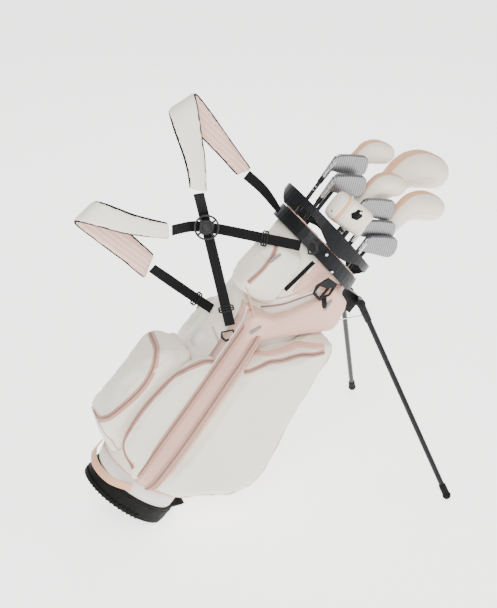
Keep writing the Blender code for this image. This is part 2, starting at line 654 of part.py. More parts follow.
def build_hub():
    """The round plastic piece that holds the two long straps where they cross: a cap and a spoked ring."""
    turn = HUB_NORMAL.to_track_quat("Z", "Y")
    place = Vector(HUB) + HUB_NORMAL * 0.0018
    cap = rod_mesh("hub", (0, 0, 0), (0, 0, 0.006), 0.0195, 28, 0.0180)
    hub = put("strap_hub", cap, "charcoal", None, place, turn)
    ring = bmesh.new()
    bmesh.ops.create_cone(ring, cap_ends=True, segments=32, radius1=0.0300, radius2=0.0300, depth=0.004,
                          matrix=Matrix.Translation((0, 0, 0.003)))
    hole = bmesh.new()
    bmesh.ops.create_cone(hole, cap_ends=True, segments=32, radius1=0.0255, radius2=0.0255, depth=0.02)
    frame = empty("hub_frame", place, turn)
    outer = cutter("hub_ring", mesh_of(ring, "hub_ring"), frame)
    cut(outer, cutter("hub_ring_hole", mesh_of(hole, "hub_ring_hole"), frame))
    cut(hub, outer, "UNION")
    for label, angle in (("a", 40), ("b", 130)):
        bar = box_mesh("spoke", (-0.028, -0.0025, 0.0015), (0.028, 0.0025, 0.0045))
        bar.transform(Matrix.Rotation(math.radians(angle), 4, "Z"))
        cut(hub, cutter("spoke_" + label, bar, frame), "UNION")


# ---------------------------------------------------------------- clubs

IRON_BLADE = [(-0.006, 0.020), (-0.007, 0.056), (0.000, 0.066), (0.030, 0.084), (0.060, 0.098), (0.072, 0.096),
              (0.084, 0.082), (0.089, 0.066), (0.085, 0.052), (0.075, 0.046), (0.040, 0.034), (0.010, 0.024)]


def shaft_profile(length, tip):
    """Grip, shaft and tip of one club, from the head end down to the butt."""
    grip_top = 0.262
    return [(0.0, length), (tip, length), (tip, length - 0.12), (0.0070, grip_top + 0.001),
            (0.0095, grip_top), (0.0112, 0.15), (0.0124, 0.012), (0.0112, 0.001), (0.0, 0.0)]


def club_axis(name, x, y, lean=0.0):
    """Empty on a club's axis, at its butt on the bag's floor. Its z runs up the shaft."""
    foot_x = x - math.tan(lean) * (0.80 - FLOOR_Z)
    turn = Matrix.Rotation(lean, 4, "Y").to_quaternion()
    return empty(name + "_axis", (foot_x, y, FLOOR_Z + 0.0012), turn, bag)


def build_iron(name, x, y, bend_z, lean=0.0):
    axis = club_axis(name, x, y, lean)
    length = bend_z - 0.034 - FLOOR_Z
    turned(name + "_shaft", shaft_profile(length, 0.0048), "black", axis, steps=10)
    blade = put(name + "_head", slab_mesh("blade", IRON_BLADE, -0.0065, 0.0065, bevel=0.0025, segments=1),
                "steel", axis, (0, 0, length + GAP))
    hosel = rod_mesh("hosel", (0, 0, 0), (0, 0, 0.046), 0.0066, 14)
    cut(blade, cutter(name + "_hosel", hosel, axis, (0, 0, length + GAP)), "UNION")


IRONS = [("iron_one", -0.096, 0.006, 1.006, math.radians(-2.3)),
         ("iron_two", -0.088, -0.0272, 0.966, math.radians(-2.3)),
         ("iron_three", 0.007, -0.041, 0.966),
         ("iron_four", 0.036, -0.059, 0.926),
         ("iron_five", 0.058, -0.0765, 0.900)]

# Cover stations: how far along x and z the ring's middle lies from the shaft's end, the ring's turn from flat
# in degrees, half its length in that plane and half its width across.
WOOD_COVER = [(0.000, -0.175, 0, 0.022, 0.020), (0.000, -0.120, 0, 0.024, 0.022),
              (0.000, -0.060, 2, 0.028, 0.026), (0.004, -0.015, 12, 0.037, 0.034),
              (0.016, 0.022, 32, 0.046, 0.043), (0.042, 0.046, 56, 0.048, 0.048),
              (0.074, 0.060, 68, 0.044, 0.047), (0.100, 0.068, 74, 0.036, 0.038),
              (0.115, 0.072, 78, 0.022, 0.024)]


def cover_mesh(name, scale_head, scale_neck, stations=WOOD_COVER, sides=16, skin=0.003):
    """A sock over a club's head: open at its neck, one skin thick."""

    def rings(inset):
        made = []
        for index, (x, z, tilt, half, width) in enumerate(stations):
            grow = scale_neck if index < 3 else scale_head
            a = math.radians(tilt)
            along = Vector((math.cos(a), 0, -math.sin(a)))
            middle = Vector((x * scale_head, 0, z * scale_head))
            if index == len(stations) - 1:
                middle -= Vector((math.sin(a), 0, math.cos(a))) * inset
            ring = []
            for i in range(sides):
                t = 2 * math.pi * i / sides
                ring.append(middle + along * math.cos(t) * (half * grow - inset)
                            + Vector((0, math.sin(t) * (width * grow - inset), 0)))
            made.append(ring)
        return made

    outer, inner = rings(0.0), rings(skin)
    bm = bmesh.new()
    out_rows = [[bm.verts.new(p) for p in ring] for ring in outer]
    in_rows = [[bm.verts.new(p) for p in ring] for ring in inner]
    for rows in (out_rows, in_rows):
        for low, high in zip(rows, rows[1:]):
            for i in range(sides):
                j = (i + 1) % sides
                bm.faces.new((low[i], low[j], high[j], high[i]))
        bm.faces.new(rows[-1])
    for i in range(sides):
        j = (i + 1) % sides
        bm.faces.new((out_rows[0][i], out_rows[0][j], in_rows[0][j], in_rows[0][i]))
    return mesh_of(bm, name)


def build_wood(name, x, y, crown_z, scale, lean=0.0):
    """A covered wood or hybrid. crown_z is the height of the shaft's end, inside the cover."""
    axis = club_axis(name, x, y, lean)
    length = crown_z - FLOOR_Z
    club = turned(name, shaft_profile(length, 0.0048), "black", axis, steps=10)
    offset = Matrix.Translation((0.044 * scale, 0, length + 0.042 * scale))
    place = offset @ Matrix.Rotation(math.radians(-28), 4, "Y")
    size = Matrix.Diagonal((0.050 * scale, 0.034 * scale, 0.026 * scale, 1))
    head = bmesh.new()
    bmesh.ops.create_uvsphere(head, u_segments=16, v_segments=10, radius=1.0, matrix=place @ size)
    cut(club, cutter(name + "_head", mesh_of(head, "head"), axis), "UNION")
    hosel = rod_mesh("hosel", (0, 0, length - 0.02), (0, 0, length + 0.030 * scale), 0.0062, 12)
    cut(club, cutter(name + "_hosel", hosel, axis), "UNION")
    cover = cover_mesh(name + "_cover", scale, 0.6 + 0.4 * scale)
    put(name + "_cover", cover, "cream", axis, (0, 0, length))


WOODS = [("driver", 0.0905, 0.0590, 1.092, 1.00, math.radians(3)),
         ("fairway_wood", 0.107, -0.025, 1.038, 0.76, math.radians(5)),
         ("hybrid_one", -0.016, 0.062, 1.068, 0.62, 0.0),
         ("hybrid_two", 0.026, -0.004, 1.024, 0.62, 0.0)]


def build_putter():
    axis = club_axis("putter", -0.002, -0.072)
    length = 0.934 - FLOOR_Z
    club = turned("putter", shaft_profile(length, 0.0048), "black", axis, steps=10)
    blade = box_mesh("putter_blade", (-0.082, -0.012, length - 0.006), (0.010, 0.012, length + 0.022))
    cut(club, cutter("putter_blade", blade, axis), "UNION")
    cover = put("putter_cover", box_mesh("putter_cover", (-0.088, -0.0225, -0.028), (0.030, 0.0225, 0.043)), "cream",
                axis, (0, 0, length))
    modifier(cover, "BEVEL", width=0.016, segments=3)
    space = box_mesh("putter_space", (-0.084, -0.0165, -0.014), (0.060, 0.0165, 0.032))
    cut(cover, cutter("putter_space", space, axis, (0, 0, length)))
    slot = box_mesh("putter_slot", (-0.012, -0.009, -0.06), (0.060, 0.009, 0.0))
    cut(cover, cutter("putter_slot", slot, axis, (0, 0, length)))


def build_clubs():
    for iron in IRONS:
        build_iron(*iron)
    for wood in WOODS:
        build_wood(*wood)
    build_putter()


build_base()
build_shell()
build_cuff()
build_dividers()
build_pockets()
build_bracket()
build_leg("near", -1)
build_leg("far", 1)
build_linkage()
build_fittings()
build_harness()
build_clubs()
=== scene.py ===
"""Looks of the golf club set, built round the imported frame.

Bag-frame points are (x to the leg side, y across, z along the bag from boot to cuff), as in the part.
"""

import math

import bmesh
import bpy
from mathutils import Matrix, Vector, noise
from mathutils.bvhtree import BVHTree


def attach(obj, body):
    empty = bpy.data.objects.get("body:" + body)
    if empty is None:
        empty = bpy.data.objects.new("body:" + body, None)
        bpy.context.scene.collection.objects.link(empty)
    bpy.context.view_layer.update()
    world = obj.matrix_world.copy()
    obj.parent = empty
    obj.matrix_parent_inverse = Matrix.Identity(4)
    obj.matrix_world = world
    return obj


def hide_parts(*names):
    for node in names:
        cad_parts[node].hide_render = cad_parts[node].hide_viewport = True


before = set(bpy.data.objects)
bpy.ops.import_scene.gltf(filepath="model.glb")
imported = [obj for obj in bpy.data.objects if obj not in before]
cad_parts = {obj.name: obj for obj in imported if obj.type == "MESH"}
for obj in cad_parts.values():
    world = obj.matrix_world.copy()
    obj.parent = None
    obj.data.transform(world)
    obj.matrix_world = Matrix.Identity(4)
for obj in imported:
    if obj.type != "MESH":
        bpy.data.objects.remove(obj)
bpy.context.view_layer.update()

TILT = math.radians(42.0)
TOE_X = 0.1135
TOE_DROP = 0.004
BOOT_X = 0.0256
BOOT_HALF = (0.125, 0.103)
BOOT_LOW = 0.016
BOOT_TOP = 0.066
FLOOR_Z = 0.074
BAG_TURN = Matrix.Rotation(TILT, 4, "Y")
BAG = Matrix.Translation(-(BAG_TURN @ Vector((TOE_X, 0, BOOT_LOW))) - Vector((0, 0, TOE_DROP))) @ BAG_TURN
BAG_INV = BAG.inverted()
BODY_X = 0.008
BODY_HALF = (0.121, 0.112)
BODY_MOUTH = 0.810
CUFF_SLOPE = -0.16
CUFF_MIDDLE = 0.00525
CUFF_HALF = (0.13575, 0.126)
CUFF_LOW = 0.816

CREAM = (0.80, 0.75, 0.65)
BLUSH = (0.70, 0.43, 0.345)
TAN = (0.70, 0.40, 0.25)
BLACK = (0.004, 0.004, 0.0045)


def W(x, y, z):
    return BAG @ Vector((x, y, z))


def D(x, y, z):
    """World direction of a bag-frame one."""
    return (BAG_TURN @ Vector((x, y, z))).normalized()


# ---------------------------------------------------------------- materials


class Look:
    """A small builder of one node material."""

    def __init__(self, name, roughness, metallic=0.0, specular=0.5, sheen=0.0, coat=0.0):
        self.mat = bpy.data.materials.new(name)
        self.mat.use_nodes = True
        self.tree = self.mat.node_tree
        self.shader = self.tree.nodes["Principled BSDF"]
        self.set("Roughness", roughness)
        self.set("Metallic", metallic)
        self.set("Specular IOR Level", specular)
        self.set("Sheen Weight", sheen)
        self.set("Coat Weight", coat)
        self.coord = self.tree.nodes.new("ShaderNodeTexCoord")
        self.height = None

    def set(self, socket, value):
        self.shader.inputs[socket].default_value = value

    def link(self, a, b):
        self.tree.links.new(a, b)

    def node(self, kind, **settings):
        made = self.tree.nodes.new(kind)
        for key, value in settings.items():
            setattr(made, key, value)
        return made

    def space(self, which="Object", scale=(1, 1, 1), turn=(0, 0, 0)):
        mapping = self.node("ShaderNodeMapping")
        mapping.inputs["Scale"].default_value = scale
        mapping.inputs["Rotation"].default_value = turn
        self.link(self.coord.outputs[which], mapping.inputs["Vector"])
        return mapping.outputs["Vector"]

    def noise(self, scale, detail=3.0, rough=0.55, which="Object", stretch=(1, 1, 1)):
        made = self.node("ShaderNodeTexNoise")
        made.inputs["Scale"].default_value = scale
        made.inputs["Detail"].default_value = detail
        made.inputs["Roughness"].default_value = rough
        self.link(self.space(which, stretch), made.inputs["Vector"])
        return made.outputs["Fac"]

    def cells(self, scale, feature="F1", which="Object"):
        made = self.node("ShaderNodeTexVoronoi", feature=feature)
        made.inputs["Scale"].default_value = scale
        self.link(self.space(which), made.inputs["Vector"])
        return made.outputs["Distance"]

    def wave(self, scale, direction="X", which="UV", distort=0.0, profile="SIN", turn=(0, 0, 0)):
        made = self.node("ShaderNodeTexWave", wave_type="BANDS", bands_direction=direction,
                         wave_profile=profile)
        made.inputs["Scale"].default_value = scale
        made.inputs["Distortion"].default_value = distort
        self.link(self.space(which, turn=turn), made.inputs["Vector"])
        return made.outputs["Fac"]

    def math(self, operation, a, b=0.0, clamp=False):
        made = self.node("ShaderNodeMath", operation=operation, use_clamp=clamp)
        for socket, value in zip(made.inputs, (a, b)):
            if isinstance(value, (int, float)):
                socket.default_value = value
            else:
                self.link(value, socket)
        return made.outputs[0]

    def ramp(self, fac, low, high):
        """0 below low, 1 above high."""
        made = self.node("ShaderNodeMapRange")
        made.inputs["From Min"].default_value = low
        made.inputs["From Max"].default_value = high
        self.link(fac, made.inputs["Value"])
        return made.outputs["Result"]

    def mix(self, fac, a, b):
        made = self.node("ShaderNodeMix", data_type="RGBA")
        for socket, value in ((made.inputs[0], fac), (made.inputs[6], a), (made.inputs[7], b)):
            if isinstance(value, tuple):
                socket.default_value = (*value, 1.0)
            elif isinstance(value, (int, float)):
                socket.default_value = value
            else:
                self.link(value, socket)
        return made.outputs[2]

    def color(self, value):
        if isinstance(value, tuple):
            self.shader.inputs["Base Color"].default_value = (*value, 1.0)
        else:
            self.link(value, self.shader.inputs["Base Color"])

    def mottle(self, color, amount=0.05, scale=9.0):
        """The colour with slow variation and a little soiling."""
        low = tuple(c * (1 - amount) for c in color)
        high = tuple(min(1.0, c * (1 + amount * 0.6)) for c in color)
        return self.mix(self.ramp(self.noise(scale, 4.0), 0.3, 0.7), low, high)

    def rough(self, base, spread, scale=30.0):
        made = self.node("ShaderNodeMapRange")
        made.inputs["From Min"].default_value = 0.25
        made.inputs["From Max"].default_value = 0.75
        made.inputs["To Min"].default_value = base - spread
        made.inputs["To Max"].default_value = base + spread
        self.link(self.noise(scale, 4.0), made.inputs["Value"])
        self.link(made.outputs["Result"], self.shader.inputs["Roughness"])

    def bump(self, height, distance, strength=1.0):
        """Adds a bump. Several calls stack up."""
        made = self.node("ShaderNodeBump")
        made.inputs["Strength"].default_value = strength
        made.inputs["Distance"].default_value = distance
        self.link(height, made.inputs["Height"])
        if self.height is not None:
            self.link(self.height, made.inputs["Normal"])
        self.height = made.outputs["Normal"]
        self.link(self.height, self.shader.inputs["Normal"])


def leatherette(name, color, grain=420.0, roughness=0.52, variation=0.035):
    look = Look(name, roughness, specular=0.35, sheen=0.08)
    look.color(look.mottle(color, variation))
    look.rough(roughness, 0.05)
    look.bump(look.cells(grain), 0.0004, 0.35)
    look.bump(look.noise(45.0, 3.0), 0.0012, 0.25)
    return look.mat


def twill(name, color, scale=520.0, roughness=0.8):
    look = Look(name, roughness, specular=0.2, sheen=0.25)
    look.color(look.mottle(color, 0.08, 14.0))
    look.bump(look.wave(scale, "DIAGONAL", "Object"), 0.0004, 0.5)
    look.bump(look.noise(900.0, 2.0), 0.0003, 0.5)
    return look.mat


def webbing(name, color):
    look = Look(name, 0.78, specular=0.12, sheen=0.02)
    rows = look.wave(95.0, "X", "UV", turn=(0, 0, 0.7))
    back = look.wave(95.0, "X", "UV", turn=(0, 0, -0.7))
    weave = look.math("MULTIPLY", rows, back)
    # painted highlight: the raised points of the weave are lightened, following the same mask as the bump
    light = tuple(min(1.0, c * 2.2 + 0.003) for c in color)
    look.color(look.mix(weave, color, light))
    look.bump(weave, 0.0006, 0.8)
    look.bump(look.noise(700.0, 2.0), 0.0002, 0.4)
    return look.mat


def moulded(name, color, roughness=0.42, grain=650.0, wear=0.02):
    look = Look(name, roughness, specular=0.16)
    light = tuple(c + wear for c in color)
    look.color(look.mix(look.ramp(look.noise(60.0, 5.0), 0.35, 0.75), color, light))
    look.rough(roughness, 0.09, 80.0)
    look.bump(look.cells(grain), 0.00025, 0.30)
    return look.mat


def metal(name, color, roughness, brush=None, spread=0.06):
    look = Look(name, roughness, metallic=1.0)
    look.color(look.mottle(color, 0.08, 30.0))
    look.rough(roughness, spread, 60.0)
    if brush:
        look.bump(look.noise(160.0, 3.0, stretch=brush), 0.0002, 0.35)
    return look.mat


def zip_teeth(name, color, pitch=0.0022):
    look = Look(name, 0.5, specular=0.5)
    teeth = look.wave(0.5 / pitch, "X", "UV")
    # painted shade: the low gaps between the teeth are darkened, following the same wave as the bump
    painted_recess_shade = tuple(c * 0.55 for c in color)
    look.color(look.mix(teeth, painted_recess_shade, color))
    look.bump(teeth, 0.0009, 0.9)
    return look.mat


def stitches(name, base, thread, pitch=0.0032):
    look = Look(name, 0.7, specular=0.3)
    along = look.wave(1.0 / (pitch * math.pi), "X", "UV")
    dash = look.ramp(along, 0.38, 0.5)
    # painted shade: between the thread dashes the seam line is darkened to 0.72 of the panel colour, as the shade
    # in its groove
    look.color(look.mix(dash, tuple(c * 0.72 for c in base), thread))
    look.bump(dash, 0.0007, 0.9)
    return look.mat


def ribbed(name, color):
    """Air mesh with slanting ribs."""
    look = Look(name, 0.8, specular=0.2, sheen=0.3)
    ribs = look.wave(38.0, "DIAGONAL", "Object")
    # painted shade: the grooves between the ribs are darkened, following the same wave as the bump
    painted_recess_shade = tuple(c * 0.80 for c in color)
    look.color(look.mix(ribs, painted_recess_shade, color))
    look.bump(ribs, 0.0014, 0.8)
    look.bump(look.cells(900.0), 0.0003, 0.4)
    return look.mat


def iron_face(name):
    """Satin cast steel with a fine blasted grain and faint grooves."""
    look = Look(name, 0.34, metallic=1.0)
    grooves = look.ramp(look.wave(52.0, "X", "Object", turn=(0, math.radians(-12), 0)), 0.80, 0.92)
    # painted shade: the grooves are darker than the face, following the same mask that sinks them in the bump
    look.color(look.mix(grooves, (0.27, 0.27, 0.28), (0.10, 0.10, 0.105)))
    look.rough(0.34, 0.07, 70.0)
    look.bump(look.math("MULTIPLY", grooves, -1.0), 0.0005, 0.6)
    look.bump(look.noise(900.0, 3.0), 0.0001, 0.3)
    return look.mat


MAT = {
    "cream": leatherette("cream_leatherette", CREAM),
    "cover": leatherette("cover_leatherette", (0.82, 0.75, 0.63), grain=480.0, roughness=0.5),
    "blush": leatherette("blush_leatherette", BLUSH),
    "tan": leatherette("tan_leatherette", TAN),
    "fog": twill("fog_fabric", (0.74, 0.73, 0.71)),
    "piping": leatherette("blush_piping", (0.66, 0.40, 0.32), grain=700.0),
    "pale_piping": leatherette("cream_piping", (0.86, 0.82, 0.77), grain=700.0),
    "tape": twill("zip_tape", (0.56, 0.32, 0.25), 700.0),
    "tape_fog": twill("zip_tape_pale", (0.78, 0.70, 0.66), 700.0),
    "teeth": zip_teeth("zip_coil", (0.42, 0.24, 0.19)),
    "web": webbing("black_webbing", BLACK),
    "binding": webbing("black_binding", BLACK),
    "black": moulded("black_moulded", (0.005, 0.005, 0.0055), wear=0.006),
    "rubber": moulded("black_rubber", (0.003, 0.003, 0.003), 0.72, 500.0, 0.003),
    "charcoal": moulded("charcoal_moulded", (0.004, 0.0048, 0.0062), 0.42, wear=0.003),
    "gunmetal": metal("gunmetal", (0.17, 0.17, 0.18), 0.36),
    "rivet": metal("rivet_steel", (0.62, 0.62, 0.64), 0.24),
    "steel": metal("satin_steel", (0.50, 0.50, 0.51), 0.33, (1, 1, 14)),
    "chrome": metal("chrome", (0.50, 0.51, 0.53), 0.12),
    "ribbed": ribbed("ribbed_mesh", (0.80, 0.53, 0.43)),
    "lining": twill("divider_fabric", (0.72, 0.50, 0.43), 600.0),
    "shaft": moulded("black_shaft", (0.010, 0.010, 0.011), 0.24, 900.0, 0.006),
    "leg": moulded("black_leg", (0.010, 0.010, 0.011), 0.30, 800.0, 0.006),
    "iron": iron_face("iron_head_steel"),
    "stitch": stitches("seam_stitches", CREAM, (0.80, 0.77, 0.72)),
    "stitch_blush": stitches("blush_stitches", BLUSH, (0.84, 0.66, 0.59)),
}


# ---------------------------------------------------------------- mesh helpers


def new_object(name, mesh, mat=None):
    made = bpy.data.objects.new(name, mesh)
    bpy.context.scene.collection.objects.link(made)
    if mat:
        mesh.materials.append(MAT[mat] if isinstance(mat, str) else mat)
    return made


def from_bm(name, bm, mat=None, smooth=True):
    bmesh.ops.recalc_face_normals(bm, faces=bm.faces)
    mesh = bpy.data.meshes.new(name)
    bm.to_mesh(mesh)
    bm.free()
    if smooth:
        mesh.shade_smooth()
    return new_object(name, mesh, mat)


def apply_modifiers(obj):
    """Replaces an object's mesh with its evaluated one."""
    graph = bpy.context.evaluated_depsgraph_get()
    mesh = bpy.data.meshes.new_from_object(obj.evaluated_get(graph))
    obj.modifiers.clear()
    obj.data = mesh
    return obj


def modifier(obj, kind, **settings):
    made = obj.modifiers.new(kind.lower(), kind)
    for key, value in settings.items():
        setattr(made, key, value)
    return made


def refine(obj):
    """One subdivision, applied, and smooth shading."""
    modifier(obj, "SUBSURF", levels=1, render_levels=1)
    apply_modifiers(obj)
    obj.data.shade_smooth()


def smooth_line(points, per=6, closed=False):
    points = [Vector(p) for p in points]
    count = len(points)
    made = []
    for i in range(count if closed else count - 1):
        if closed:
            a, b, c, d = (points[(i + k - 1) % count] for k in range(4))
        else:
            a, b, c, d = (points[min(max(i + k - 1, 0), count - 1)] for k in range(4))
        for step in range(per):
            t = step / per
            made.append(0.5 * ((2 * b) + (c - a) * t + (2 * a - 5 * b + 4 * c - d) * t * t
                               + (3 * b - a - 3 * c + d) * t ** 3))
    if not closed:
        made.append(points[-1])
    return made


def even(points, step):
    """Points about one step apart along a line."""
    made = [points[0]]
    left = step
    for a, b in zip(points, points[1:]):
        length = (b - a).length
        gone = 0.0
        while length - gone >= left:
            gone += left
            made.append(a.lerp(b, gone / length))
            left = step
        left -= length - gone
    if (made[-1] - points[-1]).length > step * 0.3:
        made.append(points[-1])
    return made


def tree_of(*objects):
    """One search tree over the world-space faces of several objects, as they are now."""
    graph = bpy.context.evaluated_depsgraph_get()
    verts, faces = [], []
    for obj in objects:
        mesh = obj.evaluated_get(graph).to_mesh()
        start = len(verts)
        verts += [obj.matrix_world @ v.co for v in mesh.vertices]
        faces += [tuple(i + start for i in f.vertices) for f in mesh.polygons]
        obj.evaluated_get(graph).to_mesh_clear()
    return BVHTree.FromPolygons(verts, faces)


def drape(tree, points, along=(0, 1, 0), back=0.5, depth=None):
    """Bag-frame points, pushed along a bag-frame direction until they meet the surface.

    A point that misses takes the surface's nearest point to where it lies, at the last depth that was met.
    """
    made = []
    for point in points:
        start = W(*point) - D(*along) * back
        place, normal, _, far = tree.ray_cast(start, D(*along), back + 0.35)
        if place is None:
            if depth is None:
                continue
            place, normal, _, _ = tree.find_nearest(start + D(*along) * depth)
        else:
            depth = far
        made.append((place, normal))
    return made


def nearest_hit(tree, point):
    """The surface's nearest point and its normal."""
    return tree.find_nearest(point)[:2]


def ray_hits(tree, rays, reach):
    """Point and normal for each (start, aim) ray that meets the surface."""
    hits = [tree.ray_cast(start, aim, reach)[:2] for start, aim in rays]
    return [hit for hit in hits if hit[0] is not None]


def line_frames(line, normals):
    """Tangent, width and normal directions along a line."""
    made = []
    for i, point in enumerate(line):
        ahead = line[min(i + 1, len(line) - 1)] - line[max(i - 1, 0)]
        ahead = ahead.normalized()
        normal = (normals[i] - ahead * normals[i].dot(ahead)).normalized()
        made.append((point, ahead, normal.cross(ahead).normalized(), normal))
    return made


def smooth_vectors(vectors, times=2, closed=False):
    for _ in range(times):
        count = len(vectors)
        made = []
        for i in range(count):
            before = vectors[(i - 1) % count if closed else max(i - 1, 0)]
            after = vectors[(i + 1) % count if closed else min(i + 1, count - 1)]
            made.append(before * 0.25 + vectors[i] * 0.5 + after * 0.25)
        vectors = made
    return vectors


def loft(bm, rows, closed=False, uv=None, uv_of=None):
    """Faces between neighbouring rings of vertices.

    uv_of gives a corner's UV from its row, its place in the row and the face's other row.
    """
    pairs = list(zip(range(len(rows)), range(1, len(rows))))
    if closed:
        pairs.append((len(rows) - 1, 0))
    size = len(rows[0])
    for i, j in pairs:
        for k in range(size):
            m = (k + 1) % size
            face = bm.faces.new((rows[i][k], rows[i][m], rows[j][m], rows[j][k]))
            if uv is not None:
                for loop, (r, c) in zip(face.loops, ((i, k), (i, m), (j, m), (j, k))):
                    loop[uv].uv = uv_of(r, c, j)


def ribbon(name, hits, width, mat, lift=0.0006, thickness=0.0012, tree=None, profile=None, closed=False,
           body="bag",
           taper=None):
    """A band that lies on a surface.

    profile lists (across, height) from edge to edge, in units of half width and m.

    UVs run along the band in metres and across it in metres.
    """
    line = smooth_vectors([h[0] for h in hits], 2, closed)
    normals = smooth_vectors([h[1] for h in hits], 3, closed)
    frames = line_frames(line, normals)
    if profile is None:
        profile = [(-1, 0), (-0.9, thickness), (0, thickness), (0.9, thickness), (1, 0)]
    bm = bmesh.new()
    uv = bm.loops.layers.uv.new("UVMap")
    rows, lengths = [], []
    gone = 0.0
    for i, (point, _, side, normal) in enumerate(frames):
        if i:
            gone += (point - frames[i - 1][0]).length
        lengths.append(gone)
        half = width / 2 * (taper(i / (len(frames) - 1)) if taper else 1.0)
        row = []
        for across, height in profile:
            place = point + side * across * half
            away = normal
            if tree is not None:
                near, face_normal, _, _ = tree.find_nearest(place, width)
                if near is not None and (place - near).length < width * 0.8:
                    place = near
                    away = (normal + face_normal).normalized() if face_normal.dot(normal) > 0 else normal
            row.append(bm.verts.new(place + away * (lift + height)))
        low = [bm.verts.new(v.co - normal * (lift + 0.0012)) for v in (row[-1], row[0])]
        rows.append(row + low)

    def uv_of(row, column, following):
        across = profile[column][0] if column < len(profile) else 1.0
        return gone if closed and row == 0 and following == 0 else lengths[row], across * width / 2

    loft(bm, rows, closed, uv, uv_of)
    if not closed:
        bm.faces.new(rows[0])
        bm.faces.new(list(reversed(rows[-1])))
    made = from_bm(name, bm, mat)
    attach(made, body)
    return made


def tube(name, line, radius, mat, body="bag", sides=8, closed=False, flat=1.0, normals=None):
    """A round bar along a line, with UVs along it in metres."""
    bm = bmesh.new()
    uv = bm.loops.layers.uv.new("UVMap")
    rings, lengths, gone = [], [], 0.0
    reference = Vector((0.13, 0.91, 0.39))
    for i, point in enumerate(line):
        if closed:
            ahead = line[(i + 1) % len(line)] - line[i - 1]
        else:
            ahead = line[min(i + 1, len(line) - 1)] - line[max(i - 1, 0)]
        ahead = ahead.normalized()
        base = normals[i] if normals else reference
        base = (base - ahead * base.dot(ahead)).normalized()
        reference = base
        side = ahead.cross(base)
        if i:
            gone += (point - line[i - 1]).length
        lengths.append(gone)
        r = radius(i / max(len(line) - 1, 1)) if callable(radius) else radius
        rings.append([bm.verts.new(point + base * math.cos(t) * r * flat + side * math.sin(t) * r)
                      for t in (2 * math.pi * k / sides for k in range(sides))])
    loft(bm, rings, closed, uv, lambda row, column, _: (lengths[row], column * 0.001))
    if not closed:
        bm.faces.new(list(reversed(rings[0])))
        bm.faces.new(rings[-1])
    made = from_bm(name, bm, mat)
    if body:
        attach(made, body)
    return made


def cad_copy(name, node, mat):
    """A copy of a CAD node's mesh as a new object."""
    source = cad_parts[node]
    mesh = source.data.copy()
    mesh.transform(source.matrix_world)
    mesh.materials.clear()
    return new_object(name, mesh, mat)


def inflate(obj, voxel, cap, shrink=0.0, pressure=4.0, frames=16, pins=None, relax=6, stiffness=8.0):
    """Turns a solid into swollen padded fabric.

    A voxel remesh, cloth under pressure, and a limit on how far each point moves.
    """
    if shrink:
        modifier(obj, "DISPLACE", strength=-shrink, mid_level=0.0)
    modifier(obj, "REMESH", mode="VOXEL", voxel_size=voxel)
    apply_modifiers(obj)
    modifier(obj, "SMOOTH", factor=0.5, iterations=relax)
    apply_modifiers(obj)
    start = [v.co.copy() for v in obj.data.vertices]
    group = obj.vertex_groups.new(name="held")
    if pins:
        for i, place in enumerate(start):
            weight = pins(place)
            if weight > 0:
                group.add([i], weight, "REPLACE")
    cloth = modifier(obj, "CLOTH")
    cloth.settings.use_pressure = True
    cloth.settings.uniform_pressure_force = pressure
    cloth.settings.effector_weights.gravity = 0
    cloth.settings.quality = 4
    cloth.settings.tension_stiffness = stiffness
    cloth.settings.compression_stiffness = stiffness
    cloth.settings.bending_stiffness = 0.4
    if pins:
        cloth.settings.vertex_group_mass = "held"
    cloth.point_cache.frame_start = 1
    cloth.point_cache.frame_end = frames
    for step in range(1, frames + 1):
        bpy.context.scene.frame_set(step)
    graph = bpy.context.evaluated_depsgraph_get()
    result = obj.evaluated_get(graph).to_mesh()
    moved = [v.co.copy() for v in result.vertices]
    obj.evaluated_get(graph).to_mesh_clear()
    obj.modifiers.clear()
    bpy.context.scene.frame_set(1)
    for vert, before, after in zip(obj.data.vertices, start, moved):
        move = after - before
        if move.length > cap:
            move = move * (cap / move.length)
        vert.co = before + move
    obj.vertex_groups.clear()
    obj.data.shade_smooth()
    return obj


def wrinkle(obj, amount, scale, seed=0, keep=None):
    """Moves the surface in and out by soft noise, in metres."""
    mesh = obj.data
    shift = Vector((seed * 3.7, seed * 1.3, seed * 2.1))
    normals = [v.normal.copy() for v in mesh.vertices]
    for vert, normal in zip(mesh.vertices, normals):
        value = noise.noise(vert.co * scale + shift) + 0.5 * noise.noise(vert.co * scale * 2.3 + shift)
        vert.co += normal * value * amount * (keep(vert.co) if keep else 1.0)


# ---------------------------------------------------------------- soft body of the bag


def inside_pin(axis_gap):
    """Holds the points of a pocket that lie against the body, and lets go of those further out."""

    def weight(place):
        p = BAG_INV @ place
        reach = math.hypot((p.x - BODY_X) / BODY_HALF[0], p.y / BODY_HALF[1])
        gap = (reach - 1.0) * 0.115
        return max(0.0, min(1.0, 1.0 - gap / axis_gap))

    return weight


def soft_copy(node, mat, voxel=0.006, cap=0.010, shrink=0.003, pressure=4.0, pins=None, wobble=0.0012, seed=1,
              scale=14.0):
    made = cad_copy(node + "_fabric", node, mat)
    inflate(made, voxel, cap, shrink, pressure, pins=pins)
    wrinkle(made, wobble, scale, seed)
    refine(made)
    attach(made, "bag")
    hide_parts(node)
    return made


def body_at(z):
    """The body's middle x and its two half widths at height z: it narrows towards the boot."""
    levels = [(BOOT_TOP, 0.0225, 0.114, 0.101), (0.105, 0.0140, 0.119, 0.107), (0.150, BODY_X, *BODY_HALF)]
    for low, high in zip(levels, levels[1:]):
        if z < high[0]:
            t = max(0.0, (z - low[0]) / (high[0] - low[0]))
            middle, long_half, wide_half = (a + (b - a) * t for a, b in zip(low[1:], high[1:]))
            return middle, (long_half, wide_half)
    return BODY_X, BODY_HALF


